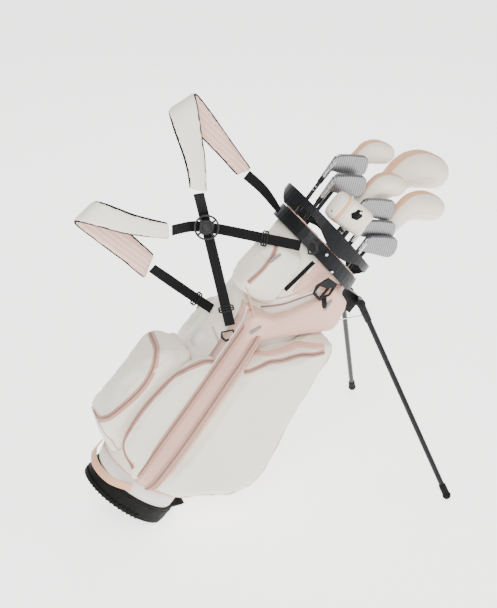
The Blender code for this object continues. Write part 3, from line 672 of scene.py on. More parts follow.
def build_shell():
    """The bag's fabric tube: an oval wall that gives a little, open at the mouth, over its floor."""
    bm = bmesh.new()
    sides, rings = 72, 30
    rows = []
    for r in range(rings):
        t = r / (rings - 1)
        row = []
        for k in range(sides):
            turn = 2 * math.pi * k / sides
            x = BODY_X + math.cos(turn) * BODY_HALF[0]
            top = BODY_MOUTH + CUFF_SLOPE * x
            z = BOOT_TOP + 0.001 + t * (top - BOOT_TOP - 0.001)
            middle, half = body_at(z)
            sink = 1.0 - 0.010 * math.sin(math.pi * t) * (0.6 + 0.4 * math.sin(3 * turn + 4 * t))
            x = middle + math.cos(turn) * half[0] * sink
            y = math.sin(turn) * half[1] * sink
            row.append(bm.verts.new(W(x, y, z)))
        rows.append(row)
    loft(bm, rows)
    bm.faces.new(rows[0])
    shell = from_bm("body_fabric", bm, "cream")
    modifier(shell, "SOLIDIFY", thickness=0.0035, offset=-1)
    apply_modifiers(shell)
    wrinkle(shell, 0.0010, 11.0, 5)
    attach(shell, "bag")
    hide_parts("bag_shell")
    return shell


shell = build_shell()
near_pocket = soft_copy("near_pocket", "cream", 0.0055, 0.009, 0.0025, 3.0, inside_pin(0.022), 0.0012, 2, 9.0)
far_pocket = soft_copy("far_pocket", "cream", 0.0070, 0.009, 0.0025, 3.0, inside_pin(0.022), 0.0012, 3, 9.0)
upper_pocket = soft_copy("upper_pocket", "blush", 0.0045, 0.004, 0.0, 2.0, inside_pin(0.010), 0.0006, 4, 12.0)
ball_pocket = soft_copy("ball_pocket", "cream", 0.0050, 0.008, 0.0005, 3.0, inside_pin(0.03), 0.0008, 5, 12.0)
cooler_pocket = soft_copy("cooler_pocket", "cream", 0.0050, 0.006, 0.0005, 3.0, inside_pin(0.02), 0.0008, 6,
                          12.0)
valuables_pocket = soft_copy("valuables_pocket", "cream", 0.0050, 0.010, 0.001, 4.0, inside_pin(0.02), 0.0008,
                             7,
                             12.0)

NEAR = tree_of(near_pocket)
BALL = tree_of(ball_pocket)
VALUABLES = tree_of(valuables_pocket)
SIDE = tree_of(near_pocket, upper_pocket, shell)
FAR = tree_of(far_pocket)
SHELL = tree_of(shell)
ALL_SOFT = tree_of(near_pocket, upper_pocket, ball_pocket, cooler_pocket, valuables_pocket, shell)


def on_side(points, tree=None, along=(0, 1, 0), step=0.005, closed=False):
    """Hits of a smooth (x, z) line pushed straight across the bag."""
    line = smooth_line([(x, 0, z) for x, z in points], 8, closed)
    if closed:
        line.append(line[0])
    return drape(tree or SIDE, even(line, step), along, depth=0.36)


def on_skin(points, tree=None, step=0.005, closed=False):
    """Hits of a smooth (x, y, z) line laid onto the nearest surface."""
    line = smooth_line(points, 8, closed)
    return [nearest_hit(tree or ALL_SOFT, W(*point)) for point in even(line, step)]


def piping(name, hits, mat="piping", radius=0.0022, closed=False, body="bag"):
    line = smooth_vectors([h[0] + h[1] * radius * 0.35 for h in hits], 2, closed)
    return tube(name, line, radius, mat, body=body, closed=closed)


COIL_WIDTH = 0.0048
COIL = [(-1, 0), (-0.7, 0.0014), (0, 0.0019), (0.7, 0.0014), (1, 0)]


def zip_line(name, hits, tape="tape", width=0.013, tree=None, body="bag"):
    """A zip: its woven tape and the raised coil down its middle."""
    ribbon(name + "_tape", hits, width, tape, 0.0008, 0.0008, tree, body=body)
    ribbon(name + "_coil", hits, COIL_WIDTH, "teeth", 0.0016, profile=COIL, body=body)


def seam(name, hits, mat="stitch", body="bag", width=0.0016):
    return ribbon(name, hits, width, mat, 0.0002, profile=[(-1, 0), (0, 0.0005), (1, 0)], body=body)


# ---------------------------------------------------------------- zip column beside the large pocket

COLUMN_LEFT = [(-0.112, -0.094, 0.628), (-0.103, -0.104, 0.596), (-0.101, -0.112, 0.530),
               (-0.100, -0.119, 0.462),
               (-0.096, -0.123, 0.364), (-0.090, -0.124, 0.250), (-0.080, -0.122, 0.150),
               (-0.072, -0.112, 0.124)]
COLUMN_RIGHT = [(-0.058, -0.120, 0.612), (-0.055, -0.142, 0.580), (-0.062, -0.168, 0.520),
                (-0.062, -0.1760, 0.462),
                (-0.052, -0.1765, 0.364), (-0.042, -0.1765, 0.250), (-0.038, -0.1730, 0.150),
                (-0.038, -0.152, 0.124)]
COLUMN_STEPS = 13


def column_frames():
    left = [W(*p) for p in smooth_line(COLUMN_LEFT, 8)]
    right = [W(*p) for p in smooth_line(COLUMN_RIGHT, 8)]
    return list(zip(left, right))


def column_hits(share):
    """Points and outward normals of the column's face, at a share of its width from the left border."""
    frames = column_frames()
    made = []
    for i, (a, b) in enumerate(frames):
        before, after = frames[max(i - 1, 0)], frames[min(i + 1, len(frames) - 1)]
        along = (after[0] + after[1]) - (before[0] + before[1])
        normal = (b - a).cross(along).normalized()
        if normal.dot(D(-0.5, -0.8, 0)) < 0:
            normal = -normal
        made.append((a.lerp(b, share) + normal * 0.004 * math.sin(math.pi * share), normal))
    return made


def build_column():
    """The column is a wedge of fabric between two borders: two zip bands with a flat panel between them."""
    bm = bmesh.new()
    shares = [k / (COLUMN_STEPS - 1) for k in range(COLUMN_STEPS)]
    faces = [column_hits(share) for share in shares]
    frames = column_frames()
    rows = []
    for i, (a, b) in enumerate(frames):
        row = [bm.verts.new(faces[k][i][0]) for k in range(COLUMN_STEPS)]
        row.append(bm.verts.new(b + D(0.45, 0.9, 0) * 0.045))
        row.append(bm.verts.new(a + D(0.1, 1, 0) * 0.042))
        rows.append(row)
    loft(bm, rows)
    bm.faces.new(rows[0])
    bm.faces.new(list(reversed(rows[-1])))
    wedge = from_bm("column_fabric", bm, "blush")
    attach(wedge, "bag")
    for name, share in (("left", 0.16), ("right", 0.83)):
        zip_line("column_zip_" + name, [(p + n * 0.0012, n) for p, n in column_hits(share)], "tape", 0.015)
    for name, share, mat in (("left", 0.0, "pale_piping"), ("right", 1.0, "piping"),
                             ("inner_left", 0.31, "piping"),
                             ("inner_right", 0.68, "piping")):
        piping("column_piping_" + name, column_hits(share), mat, 0.0019 if share in (0.0, 1.0) else 0.0012)


# ---------------------------------------------------------------- zips, piping and panels of the bag

PANEL_BORDER = [(0.104, 0.674), (0.140, 0.574), (0.170, 0.434), (0.194, 0.318), (0.187, 0.252),
                (0.146, 0.206),
                (0.108, 0.182), (0.041, 0.148), (-0.034, 0.140)]
PANEL_ZIP = [(0.094, 0.650), (0.060, 0.619), (0.020, 0.583), (-0.016, 0.551), (-0.036, 0.527),
             (-0.048, 0.502)]
WELDED_ZIP = [(-0.072, -0.082, 0.640), (-0.040, -0.104, 0.680), (-0.012, -0.112, 0.722),
              (0.012, -0.116, 0.752)]
COOLER_ZIP = [(-0.084, -0.115, 0.478), (-0.116, -0.108, 0.463), (-0.127, -0.105, 0.444),
              (-0.142, -0.095, 0.410),
              (-0.151, -0.088, 0.378), (-0.157, -0.088, 0.316), (-0.156, -0.088, 0.253),
              (-0.150, -0.088, 0.205),
              (-0.138, -0.090, 0.177), (-0.117, -0.104, 0.153), (-0.088, -0.120, 0.142)]
VALUABLES_ZIP = [(-0.168, -0.080, 0.796), (-0.152, -0.094, 0.780), (-0.146, -0.098, 0.734),
                 (-0.150, -0.092, 0.672)]
BALL_ZIP = [(-0.196, 0.040, 0.417), (-0.197, 0.010, 0.414), (-0.199, -0.031, 0.409), (-0.196, -0.057, 0.390),
            (-0.184, -0.062, 0.350), (-0.181, -0.063, 0.308), (-0.190, -0.062, 0.250),
            (-0.200, -0.055, 0.205),
            (-0.200, -0.020, 0.180), (-0.198, 0.020, 0.176)]
BALL_BINDING = [(-0.183, -0.062, 0.363), (-0.172, -0.061, 0.418), (-0.150, -0.045, 0.438),
                (-0.118, -0.012, 0.446),
                (-0.114, 0.010, 0.440)]
GLOVE_PATCH = [(-0.112, -0.030, 0.500), (-0.111, 0.000, 0.500), (-0.112, 0.000, 0.462),
               (-0.112, -0.030, 0.462)]


def offset_hits(hits, shift):
    """The same line, moved sideways along the surface."""
    frames = line_frames([h[0] for h in hits], smooth_vectors([h[1] for h in hits], 3))
    return [nearest_hit(ALL_SOFT, point + side * shift) for point, _, side, _ in frames]


def flat_panel(name, hits, mat, thickness=0.0012, body="bag"):
    """A closed patch through draped border points, one thickness above the surface."""
    bm = bmesh.new()
    middle = sum((h[0] for h in hits), Vector()) / len(hits)
    normal = sum((h[1] for h in hits), Vector()).normalized()
    top = [bm.verts.new(p + n * thickness) for p, n in hits]
    low = [bm.verts.new(p - n * 0.0015) for p, n in hits]
    peak = bm.verts.new(middle + normal * (thickness + 0.0012))
    base = bm.verts.new(middle - normal * 0.0015)
    for i in range(len(hits)):
        j = (i + 1) % len(hits)
        bm.faces.new((top[i], top[j], peak))
        bm.faces.new((low[j], low[i], base))
        bm.faces.new((top[j], top[i], low[i], low[j]))
    made = from_bm(name, bm, mat)
    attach(made, body)
    return made


def build_bag_details():
    build_column()
    piping("panel_border", on_side(PANEL_BORDER, NEAR), "piping", 0.0021)
    zip_line("panel_zip", on_side(PANEL_ZIP, NEAR), "tape", 0.0125, NEAR)
    top = on_side([(x - 0.007, z + 0.012) for x, z in PANEL_ZIP], NEAR)
    ribbon("panel_top", top, 0.020, "blush", 0.0002, 0.0006, NEAR)
    piping("panel_zip_piping", on_side([(x - 0.007, z + 0.010) for x, z in PANEL_ZIP[:4]], NEAR), "piping",
           0.0016)
    seam("panel_stitches", on_side([(x - 0.010, z - 0.002) for x, z in PANEL_BORDER[:-2]], NEAR))
    far = (0, -1, 0)
    piping("far_border", on_side(PANEL_BORDER, FAR, far), "piping", 0.0021)
    zip_line("far_zip", on_side(PANEL_ZIP, FAR, far), "tape", 0.0125, FAR)
    zip_line("welded_zip", on_skin(WELDED_ZIP), "tape_fog", 0.013, ALL_SOFT)
    zip_line("cooler_zip", on_skin(COOLER_ZIP), "tape", 0.014, ALL_SOFT)
    piping("cooler_piping", offset_hits(on_skin(COOLER_ZIP), 0.0085), "pale_piping", 0.0012)
    piping("cooler_piping_in", offset_hits(on_skin(COOLER_ZIP), -0.0085), "piping", 0.0012)
    zip_line("valuables_zip", on_skin(VALUABLES_ZIP, VALUABLES), "tape", 0.012, VALUABLES)
    zip_line("ball_zip", on_skin(BALL_ZIP, BALL), "tape", 0.015, BALL)
    piping("ball_zip_piping", offset_hits(on_skin(BALL_ZIP, BALL), 0.009), "piping", 0.0012)
    piping("ball_zip_piping_out", offset_hits(on_skin(BALL_ZIP, BALL), -0.009), "pale_piping", 0.0014)
    piping("ball_binding", on_skin(BALL_BINDING, ALL_SOFT), "pale_piping", 0.0020)
    flat_panel("glove_patch", on_skin(GLOVE_PATCH, SHELL, closed=True)[:-1], "pale_piping", 0.0016)
    bottom = [(-0.200, 0.040, 0.172), (-0.196, -0.050, 0.168), (-0.160, -0.062, 0.156),
              (-0.112, -0.066, 0.144)]
    piping("ball_bottom_piping", on_skin(bottom), "piping", 0.0018)
    slot = on_skin([(-0.111, -0.030, 0.526), (-0.098, -0.055, 0.515), (-0.082, -0.074, 0.503)])
    ribbon("side_slot", slot, 0.006, "stitch_blush", 0.0004, 0.0008, ALL_SOFT)
    edge = on_side([(-0.045, 0.806), (-0.050, 0.760), (-0.056, 0.706)], ALL_SOFT)
    ribbon("diagonal_binding", edge, 0.010, "binding", 0.0008, 0.0012, ALL_SOFT)
    flat = [(-1, 0), (-0.98, 0.0006), (-0.6, 0.0006), (-0.2, 0.0006), (0.2, 0.0006), (0.6, 0.0006),
            (0.98, 0.0006),
            (1, 0)]
    across = on_side([(-0.040, 0.784), (0.000, 0.788), (0.045, 0.782), (0.088, 0.776)], ALL_SOFT)
    ribbon("cuff_panel", across, 0.056, "blush", 0.0002, tree=ALL_SOFT, profile=flat)
    down = on_side([(-0.024, 0.775), (-0.024, 0.745), (-0.022, 0.716)], ALL_SOFT)
    ribbon("cuff_panel_low", down, 0.044, "blush", 0.0003, tree=ALL_SOFT, profile=flat)
    hem = on_side([(-0.190, 0.654), (-0.123, 0.640), (-0.078, 0.664), (-0.041, 0.702), (-0.019, 0.752),
                   (-0.016, 0.790)], ALL_SOFT)
    piping("body_hem", hem, "piping", 0.0018)
    for name, angle in (("spine_seam", 180.0), ("far_seam", 128.0), ("leg_seam", 0.0)):
        turn = math.radians(angle)
        line = [(0, 0, z) for z in (0.10, 0.30, 0.50, 0.74)]
        inward = (-math.cos(turn), -math.sin(turn), 0)
        shift = Vector((BODY_X, 0, 0))
        points = even(smooth_line([Vector(p) + shift for p in line], 6), 0.008)
        seam(name, drape(SHELL, points, inward, 0.3), "stitch", width=0.003)
    oval = on_skin([(0.020, -0.128, 0.757), (0.0285, -0.132, 0.744), (0.037, -0.136, 0.731)])
    ribbon("zip_garage", oval, 0.013, "black", 0.001, 0.003, ALL_SOFT, taper=lambda t: 0.5 + 2 * t * (1 - t))


def around(tree, z, count=72):
    """Hits of a level ring of points, pushed in towards the body's middle."""
    middle, _ = body_at(z)
    turns = [math.radians(360 * k / count) for k in range(count)]
    outs = [Vector((math.cos(turn), math.sin(turn), 0)) for turn in turns]
    rays = [(W(middle + out.x * 0.3, out.y * 0.3, z), D(-out.x, -out.y, 0)) for out in outs]
    return ray_hits(tree, rays, 0.4)


def build_foot_of_bag():
    """The fabric band above the boot, and the boot's lugs and groove."""
    ribbon("boot_band", around(SHELL, 0.088), 0.036, "fog", 0.0006, 0.0012, SHELL, closed=True)
    piping("boot_band_piping", around(SHELL, 0.108), "piping", 0.0018, closed=True)
    bm = bmesh.new()
    for k in range(30):
        turn = math.radians(92 + 176 * k / 29)
        out = Vector((math.cos(turn) / BOOT_HALF[0], math.sin(turn) / BOOT_HALF[1], 0)).normalized()
        place = W(BOOT_X + math.cos(turn) * BOOT_HALF[0], math.sin(turn) * BOOT_HALF[1], BOOT_LOW + 0.0075)
        if place.z < 0.012:
            continue
        frame_turn = (BAG_TURN @ out).to_track_quat("X", "Z").to_matrix().to_4x4()
        matrix = Matrix.Translation(place) @ frame_turn @ Matrix.Diagonal((0.005, 0.011, 0.012, 1))
        bmesh.ops.create_cube(bm, size=1.0, matrix=matrix)
    lugs = from_bm("boot_lugs", bm, "rubber", smooth=False)
    modifier(lugs, "BEVEL", width=0.0008, segments=2)
    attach(lugs, "bag")
    line = []
    for k in range(72):
        turn = 2 * math.pi * k / 72
        line.append(W(BOOT_X + math.cos(turn) * BOOT_HALF[0], math.sin(turn) * BOOT_HALF[1],
                      BOOT_TOP - 0.010))
    tube("boot_rib", line, 0.0010, "rubber", closed=True)


# ---------------------------------------------------------------- straps and pads

WEB_WIDTH = 0.0245
WEB_THICKNESS = 0.0022


def strap(name, points, across, width, thickness, mat, body="bag"):
    """Flat webbing with soft edges along smooth points. across gives its width direction at each point."""
    line = [Vector(p) for p in smooth_line(points, 8)]
    sides = [v.normalized() for v in smooth_line(across, 8)]
    outline = [(-1.0, 0.0), (-0.96, 0.38), (-0.84, 0.5), (-0.4, 0.5), (0.0, 0.5), (0.4, 0.5), (0.84, 0.5),
               (0.96, 0.38),
               (1.0, 0.0), (0.96, -0.38), (0.84, -0.5), (0.0, -0.5), (-0.84, -0.5), (-0.96, -0.38)]
    bm = bmesh.new()
    uv = bm.loops.layers.uv.new("UVMap")
    rows, lengths, gone = [], [], 0.0
    for i, (point, side) in enumerate(zip(line, sides)):
        ahead = (line[min(i + 1, len(line) - 1)] - line[max(i - 1, 0)]).normalized()
        side = (side - ahead * side.dot(ahead)).normalized()
        up = ahead.cross(side)
        if i:
            gone += (point - line[i - 1]).length
        lengths.append(gone)
        rows.append([bm.verts.new(point + side * a * width / 2 + up * b * thickness) for a, b in outline])
    loft(bm, rows, False, uv, lambda row, column, _: (lengths[row], outline[column][0] * width / 2))
    bm.faces.new(list(reversed(rows[0])))
    bm.faces.new(rows[-1])
    made = from_bm(name, bm, mat)
    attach(made, body)
    return made, gone


HUB = Vector((0.1763, -0.005, 0.778))
HUB_NORMAL = Vector((-0.329, -0.801, 0.500)).normalized()
HUB_REACH = 0.034


def hub_crossing(before, after, depth):
    middle = HUB - HUB_NORMAL * depth
    along = Vector(after) - Vector(before)
    along = (along - along.dot(HUB_NORMAL) * HUB_NORMAL).normalized()
    return [middle - along * HUB_REACH, middle, middle + along * HUB_REACH], HUB_NORMAL.cross(along)


def web(name, points, across):
    made, _ = strap(name + "_webbing", points, across, WEB_WIDTH, WEB_THICKNESS, "web")
    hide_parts(name)
    return made


def slider(name, place, turn, size=(0.034, 0.012), bar=0.0022):
    """A small moulded frame that the webbing runs through: a rounded loop with a middle bar."""
    long_half, short_half = size[0] / 2, size[1] / 2
    corners = [(long_half, short_half), (-long_half, short_half), (-long_half, -short_half),
               (long_half, -short_half)]
    line = []
    for (x0, y0), (x1, y1) in zip(corners, corners[1:] + corners[:1]):
        line += [place + turn @ Vector((x0 + (x1 - x0) * t, y0 + (y1 - y0) * t, 0)) for t in (0.12, 0.5,
                                                                                              0.88)]
    tube(name, line, bar, "black", closed=True, sides=8)
    tube(name + "_bar", [place + turn @ Vector((long_half * t, 0, 0.001)) for t in (-1, -0.5, 0, 0.5, 1)],
         bar * 0.8,
         "black", sides=8)


def facing(normal, along):
    """A turn whose z is the normal and whose x is across the strap."""
    ahead = (along - normal * along.dot(normal)).normalized()
    return Matrix((ahead.cross(normal), ahead, normal)).transposed()


def build_straps():
    start = Vector((0.1498, -0.029, 0.8790))
    hook = W(-0.1185, -0.0985, 0.5665)
    middle, side = hub_crossing(start, hook, 0.0012)
    points = [start, *middle, middle[2].lerp(hook, 0.6), hook]
    last = HUB_NORMAL.cross(hook - points[-2]).normalized()
    web("long_strap_a", points, [Vector((1, -0.3, 0.1)).normalized(), side, side, side, last, last])
    down = (hook - middle[2]).normalized()
    slider("down_slider", middle[2].lerp(hook, 0.80) + HUB_NORMAL * 0.001, facing(HUB_NORMAL, down))
    start = Vector((0.0828, -0.033, 0.8015))
    hook = W(-0.1260, -0.1290, 0.8200)
    middle, side = hub_crossing(start, hook, 0.0064)
    points = [start, *middle, middle[2].lerp(hook, 0.55), hook]
    last = HUB_NORMAL.cross(hook - points[-2]).normalized()
    web("long_strap_b", points, [side, side, side, side, last, last])
    up = (hook - middle[2]).normalized()
    slider("up_slider", middle[2].lerp(hook, 0.55) + HUB_NORMAL * 0.001, facing(HUB_NORMAL, up))
    points = [Vector((0.2938, 0.0375, 0.8755)), Vector((0.331, 0.022, 0.836)), W(-0.1465, 0.0, 0.846)]
    across = [Vector(v).normalized() for v in ((0.75, 0.1, 0.45), (0.7, 0.3, 0.5), (0.5, 0.8, 0.3))]
    web("upper_strap", points, across)
    points = [Vector((0.0518, 0.0375, 0.6755)), Vector((0.121, 0.020, 0.612)), W(-0.1210, 0.0, 0.556)]
    across = [Vector(v).normalized() for v in ((0.4, -0.1, 0.8), (0.4, 0.3, 0.7), (0.5, 0.4, 0.6))]
    web("lower_strap", points, across)
    low = points[1].lerp(points[2], 0.45)
    slider("lower_slider", low + Vector((0, -0.002, 0)), facing(Vector((-0.5, -0.7, 0.4)).normalized(),
                                                                 points[2] - points[1]))
    loop = [(-0.043, -0.099, 0.086), (-0.096, -0.082, 0.074), (-0.125, -0.034, 0.074), (-0.121, 0.016, 0.084),
            (-0.099, 0.050, 0.100)]
    across = [D(0.1, 0.05, 1)] * 5
    handle, _ = strap("grab_loop_leather", [W(*p) for p in loop], across, 0.020, 0.0030, "tan")
    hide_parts("grab_loop")


def pad_mesh(node, edge_a, edge_b):
    """A shoulder pad: swollen foam between a pale outer skin and a ribbed inner one, bound on one edge."""
    made = cad_copy(node + "_padding", node, "cream")
    inflate(made, 0.0040, 0.004, 0.0, 2.5, frames=12, relax=3)
    wrinkle(made, 0.0006, 24.0, 8)
    refine(made)
    made.data.materials.append(MAT["ribbed"])
    line_a = [Vector(p) for p in smooth_line(edge_a, 6)]
    line_b = [Vector(p) for p in smooth_line(edge_b, 6)]
    middles = [(a + b) / 2 for a, b in zip(line_a, line_b)]
    inner = []
    for i in range(len(middles)):
        ahead = middles[min(i + 1, len(middles) - 1)] - middles[max(i - 1, 0)]
        normal = ahead.cross(line_b[i] - line_a[i]).normalized()
        toward = Vector((middles[i].x, 0.002, middles[i].z - 0.02)) - middles[i]
        inner.append(normal if normal.dot(toward) > 0 else -normal)
    for face in made.data.polygons:
        nearest = min(range(len(middles)), key=lambda i: (middles[i] - face.center).length_squared)
        if face.normal.dot(inner[nearest]) > 0.15:
            face.material_index = 1
    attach(made, "bag")
    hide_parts(node)
    skin = tree_of(made)
    for name, line in (("a", line_a), ("b", line_b)):
        places = [nearest_hit(skin, point)[0] for point in even(line, 0.006)]
        tube(node + "_binding_" + name, smooth_vectors(places, 3), 0.0028, "binding")
    return made


def build_pads():
    upper_a = [(0.129, -0.032, 0.896), (0.116, -0.038, 0.965), (0.094, -0.030, 1.050), (0.098, 0.000, 1.074),
               (0.139, 0.028, 1.036), (0.204, 0.034, 0.960), (0.271, 0.036, 0.878)]
    upper_b = [(0.168, -0.026, 0.880), (0.166, -0.030, 0.970), (0.154, -0.024, 1.075), (0.158, 0.004, 1.102),
               (0.188, 0.030, 1.068), (0.238, 0.040, 0.995), (0.306, 0.040, 0.885)]
    pad_mesh("upper_pad", upper_a, upper_b)
    lower_a = [(0.074, -0.036, 0.822), (0.002, -0.040, 0.856), (-0.069, -0.030, 0.893),
               (-0.085, 0.000, 0.886),
               (-0.067, 0.026, 0.856), (-0.003, 0.034, 0.786), (0.059, 0.036, 0.708)]
    lower_b = [(0.076, -0.030, 0.782), (-0.018, -0.034, 0.810), (-0.113, -0.024, 0.853),
               (-0.131, 0.004, 0.846),
               (-0.111, 0.030, 0.812), (-0.043, 0.038, 0.735), (0.035, 0.040, 0.650)]
    pad_mesh("lower_pad", lower_a, lower_b)


def ring_on(name, place, normal, radius, bar, mat, body="bag"):
    side = normal.orthogonal().normalized()
    other = normal.cross(side)
    line = [place + side * math.cos(t) * radius + other * math.sin(t) * radius
            for t in (2 * math.pi * k / 40 for k in range(40))]
    return tube(name, line, bar, mat, body=body, closed=True)


def build_hub_details():
    top = HUB + HUB_NORMAL * 0.0078
    ring_on("hub_rim", top, HUB_NORMAL, 0.0170, 0.0009, "charcoal")
    ring_on("hub_ring", top, HUB_NORMAL, 0.0105, 0.0007, "charcoal")


# ---------------------------------------------------------------- cuff


def cuff_ring(height, grow, count=96):
    """A ring round the cuff at a height above its sloping lower edge."""
    made = []
    for k in range(count):
        turn = 2 * math.pi * k / count
        x = CUFF_MIDDLE + math.cos(turn) * (CUFF_HALF[0] + grow)
        made.append(W(x, math.sin(turn) * (CUFF_HALF[1] + grow), height + CUFF_SLOPE * x))
    return made


def build_cuff():
    tube("cuff_lower_lip", cuff_ring(CUFF_LOW - 0.002, -0.0022), 0.0016, "charcoal", closed=True)
    lining = soft_copy("cuff_lining", "blush", 0.0045, 0.002, 0.0, 1.5, None, 0.0004, 9, 20.0)
    grid = soft_copy("divider_grid", "blush", 0.0035, 0.0015, 0.0003, 1.0, None, 0.0002, 10, 20.0)
    for name, place in (("cuff_rivet", W(-0.047, -0.1245, 0.838)), ("ring_rivet", W(-0.005, -0.1275, 0.812))):
        bm = bmesh.new()
        bmesh.ops.create_uvsphere(bm, u_segments=16, v_segments=8, radius=1.0,
                                  matrix=Matrix.Translation(place) @ BAG_TURN @ Matrix.Diagonal((0.0042,
                                                                                                 0.0026,
                                                                                                 0.0042, 1)))
        rivet = from_bm(name, bm, "rivet")
        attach(rivet, "bag")


# ---------------------------------------------------------------- clubs

# x and y of the shaft, height of the crown, scale of the cover, lean in degrees
CLUBS = {"driver": (0.0905, 0.0590, 1.092, 1.00, 3.0), "fairway_wood": (0.107, -0.025, 1.038, 0.76, 5.0),
         "hybrid_one": (-0.016, 0.062, 1.068, 0.62, 0.0), "hybrid_two": (0.026, -0.004, 1.024, 0.62, 0.0),
         "iron_one": (-0.096, 0.006, 1.006, 0.0, -2.3), "iron_two": (-0.088, -0.0272, 0.966, 0.0, -2.3),
         "iron_three": (0.007, -0.041, 0.966, 0.0, 0.0), "iron_four": (0.036, -0.059, 0.926, 0.0, 0.0),
         "iron_five": (0.058, -0.0765, 0.900, 0.0, 0.0), "putter": (-0.002, -0.072, 0.934, 0.0, 0.0)}
# x and z from the crown, tilt in degrees, half thickness and half width of each ring of a cover
WOOD_COVER = [(0.000, -0.175, 0, 0.022, 0.020), (0.000, -0.120, 0, 0.024, 0.022),
              (0.000, -0.060, 2, 0.028, 0.026), (0.004, -0.015, 12, 0.037, 0.034),
              (0.016, 0.022, 32, 0.046, 0.043), (0.042, 0.046, 56, 0.048, 0.048),
              (0.074, 0.060, 68, 0.044, 0.047), (0.100, 0.068, 74, 0.036, 0.038),
              (0.115, 0.072, 78, 0.022, 0.024)]


def club_frame(name):
    """World matrix of a club's axis: z up the shaft, the origin at the grip's butt."""
    x, y, _, _, lean = CLUBS[name]
    lean = math.radians(lean)
    foot = Vector((x - math.tan(lean) * (0.80 - FLOOR_Z), y, FLOOR_Z + 0.0012))
    return BAG @ Matrix.Translation(foot) @ Matrix.Rotation(lean, 4, "Y")


HEAD_RISE = 0.034


def club_band(name, club, height, length, radius, mat):
    frame_at = club_frame(club)
    bm = bmesh.new()
    place = frame_at @ Matrix.Translation((0, 0, height + length / 2))
    bmesh.ops.create_cone(bm, cap_ends=True, segments=24, radius1=radius, radius2=radius, depth=length,
                          matrix=place)
    made = from_bm(name, bm, mat)
    modifier(made, "BEVEL", width=0.0004, segments=2, limit_method="ANGLE")
    modifier(made, "WEIGHTED_NORMAL")
    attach(made, club)
    return made


def build_shaft_bands():
    for club in ("iron_one", "iron_two", "iron_three", "iron_four", "iron_five"):
        length = CLUBS[club][2] - HEAD_RISE - FLOOR_Z
        club_band(club + "_hosel", club, length + 0.002, 0.043, 0.0070, "chrome")
        club_band(club + "_ferrule", club, length - 0.016, 0.016, 0.0062, "black")
        for index, gap in enumerate((0.030, 0.040, 0.078, 0.120)):
            club_band(club + "_stripe_%d" % index, club, length - gap, 0.0022 + 0.004 * (index == 2), 0.0052,
                      "chrome")


def cover_frame(club):
    """World matrix of a cover: the club's axis, with the origin at the crown."""
    return club_frame(club) @ Matrix.Translation((0, 0, CLUBS[club][2] - FLOOR_Z))


def inward_aim(frame_at, out):
    return (frame_at.to_3x3() @ -out).normalized()


def cover_hits(club, tree, side, first=0, last=9):
    """Points along a cover at one side of its bend: side is (in-plane, across) in the cover's own rings."""
    scale = CLUBS[club][3]
    frame_at = cover_frame(club)
    rings = [Vector((x * scale, z * scale, tilt)) for x, z, tilt, _, _ in WOOD_COVER]
    rays = []
    for point in smooth_line(rings[first:last], 6):
        a = math.radians(point.z)
        middle = Vector((point.x, 0, point.y))
        out = Vector((math.cos(a), 0, -math.sin(a))) * side[0] + Vector((0, side[1], 0))
        rays.append((frame_at @ (middle + out * 0.09), inward_aim(frame_at, out)))
    return ray_hits(tree, rays, 0.12)


def neck_hits(club, tree, height, count=40):
    crown = CLUBS[club][2]
    frame_at = club_frame(club) @ Matrix.Translation((0, 0, crown - FLOOR_Z + height))
    turns = [2 * math.pi * k / count for k in range(count)]
    outs = [Vector((math.cos(turn), math.sin(turn), 0)) for turn in turns]
    return ray_hits(tree, [(frame_at @ (out * 0.08), inward_aim(frame_at, out)) for out in outs], 0.09)


def cover_skin(club, sides=32):
    """A soft cover over a head, lofted through its stations and open at the neck."""
    scale = CLUBS[club][3]
    frame_at = cover_frame(club)
    neck = 0.6 + 0.4 * scale
    stations = []
    for index, (x, z, tilt, half, width) in enumerate(WOOD_COVER):
        grow = neck if index < 3 else scale
        stations.append((Vector((x * scale, z * scale, tilt)), Vector((half * grow, width * grow, 0))))
    places = smooth_line([p for p, _ in stations], 5)
    sizes = smooth_line([v for _, v in stations], 5)
    bm = bmesh.new()
    rows = []
    for place, size in zip(places, sizes):
        a = math.radians(place.z)
        along = Vector((math.cos(a), 0, -math.sin(a)))
        middle = Vector((place.x, 0, place.y))
        rows.append([bm.verts.new(frame_at @ (middle + along * math.cos(t) * size.x + Vector((0,
                                                                                              math.sin(t) * size.y, 0))))
                     for t in (2 * math.pi * k / sides for k in range(sides))])
    loft(bm, rows)
    last = rows[-1]
    inner = [bm.verts.new(sum((v.co for v in last), Vector()) / sides * 0.45 + v.co * 0.55) for v in last]
    peak = bm.verts.new(sum((v.co for v in last), Vector()) / sides)
    for k in range(sides):
        m = (k + 1) % sides
        bm.faces.new((last[k], last[m], inner[m], inner[k]))
        bm.faces.new((inner[k], inner[m], peak))
    made = from_bm(club + "_cover_padding", bm, "cover")
    modifier(made, "SOLIDIFY", thickness=0.0028, offset=-1)
    apply_modifiers(made)
    made.data.shade_smooth()
    return made


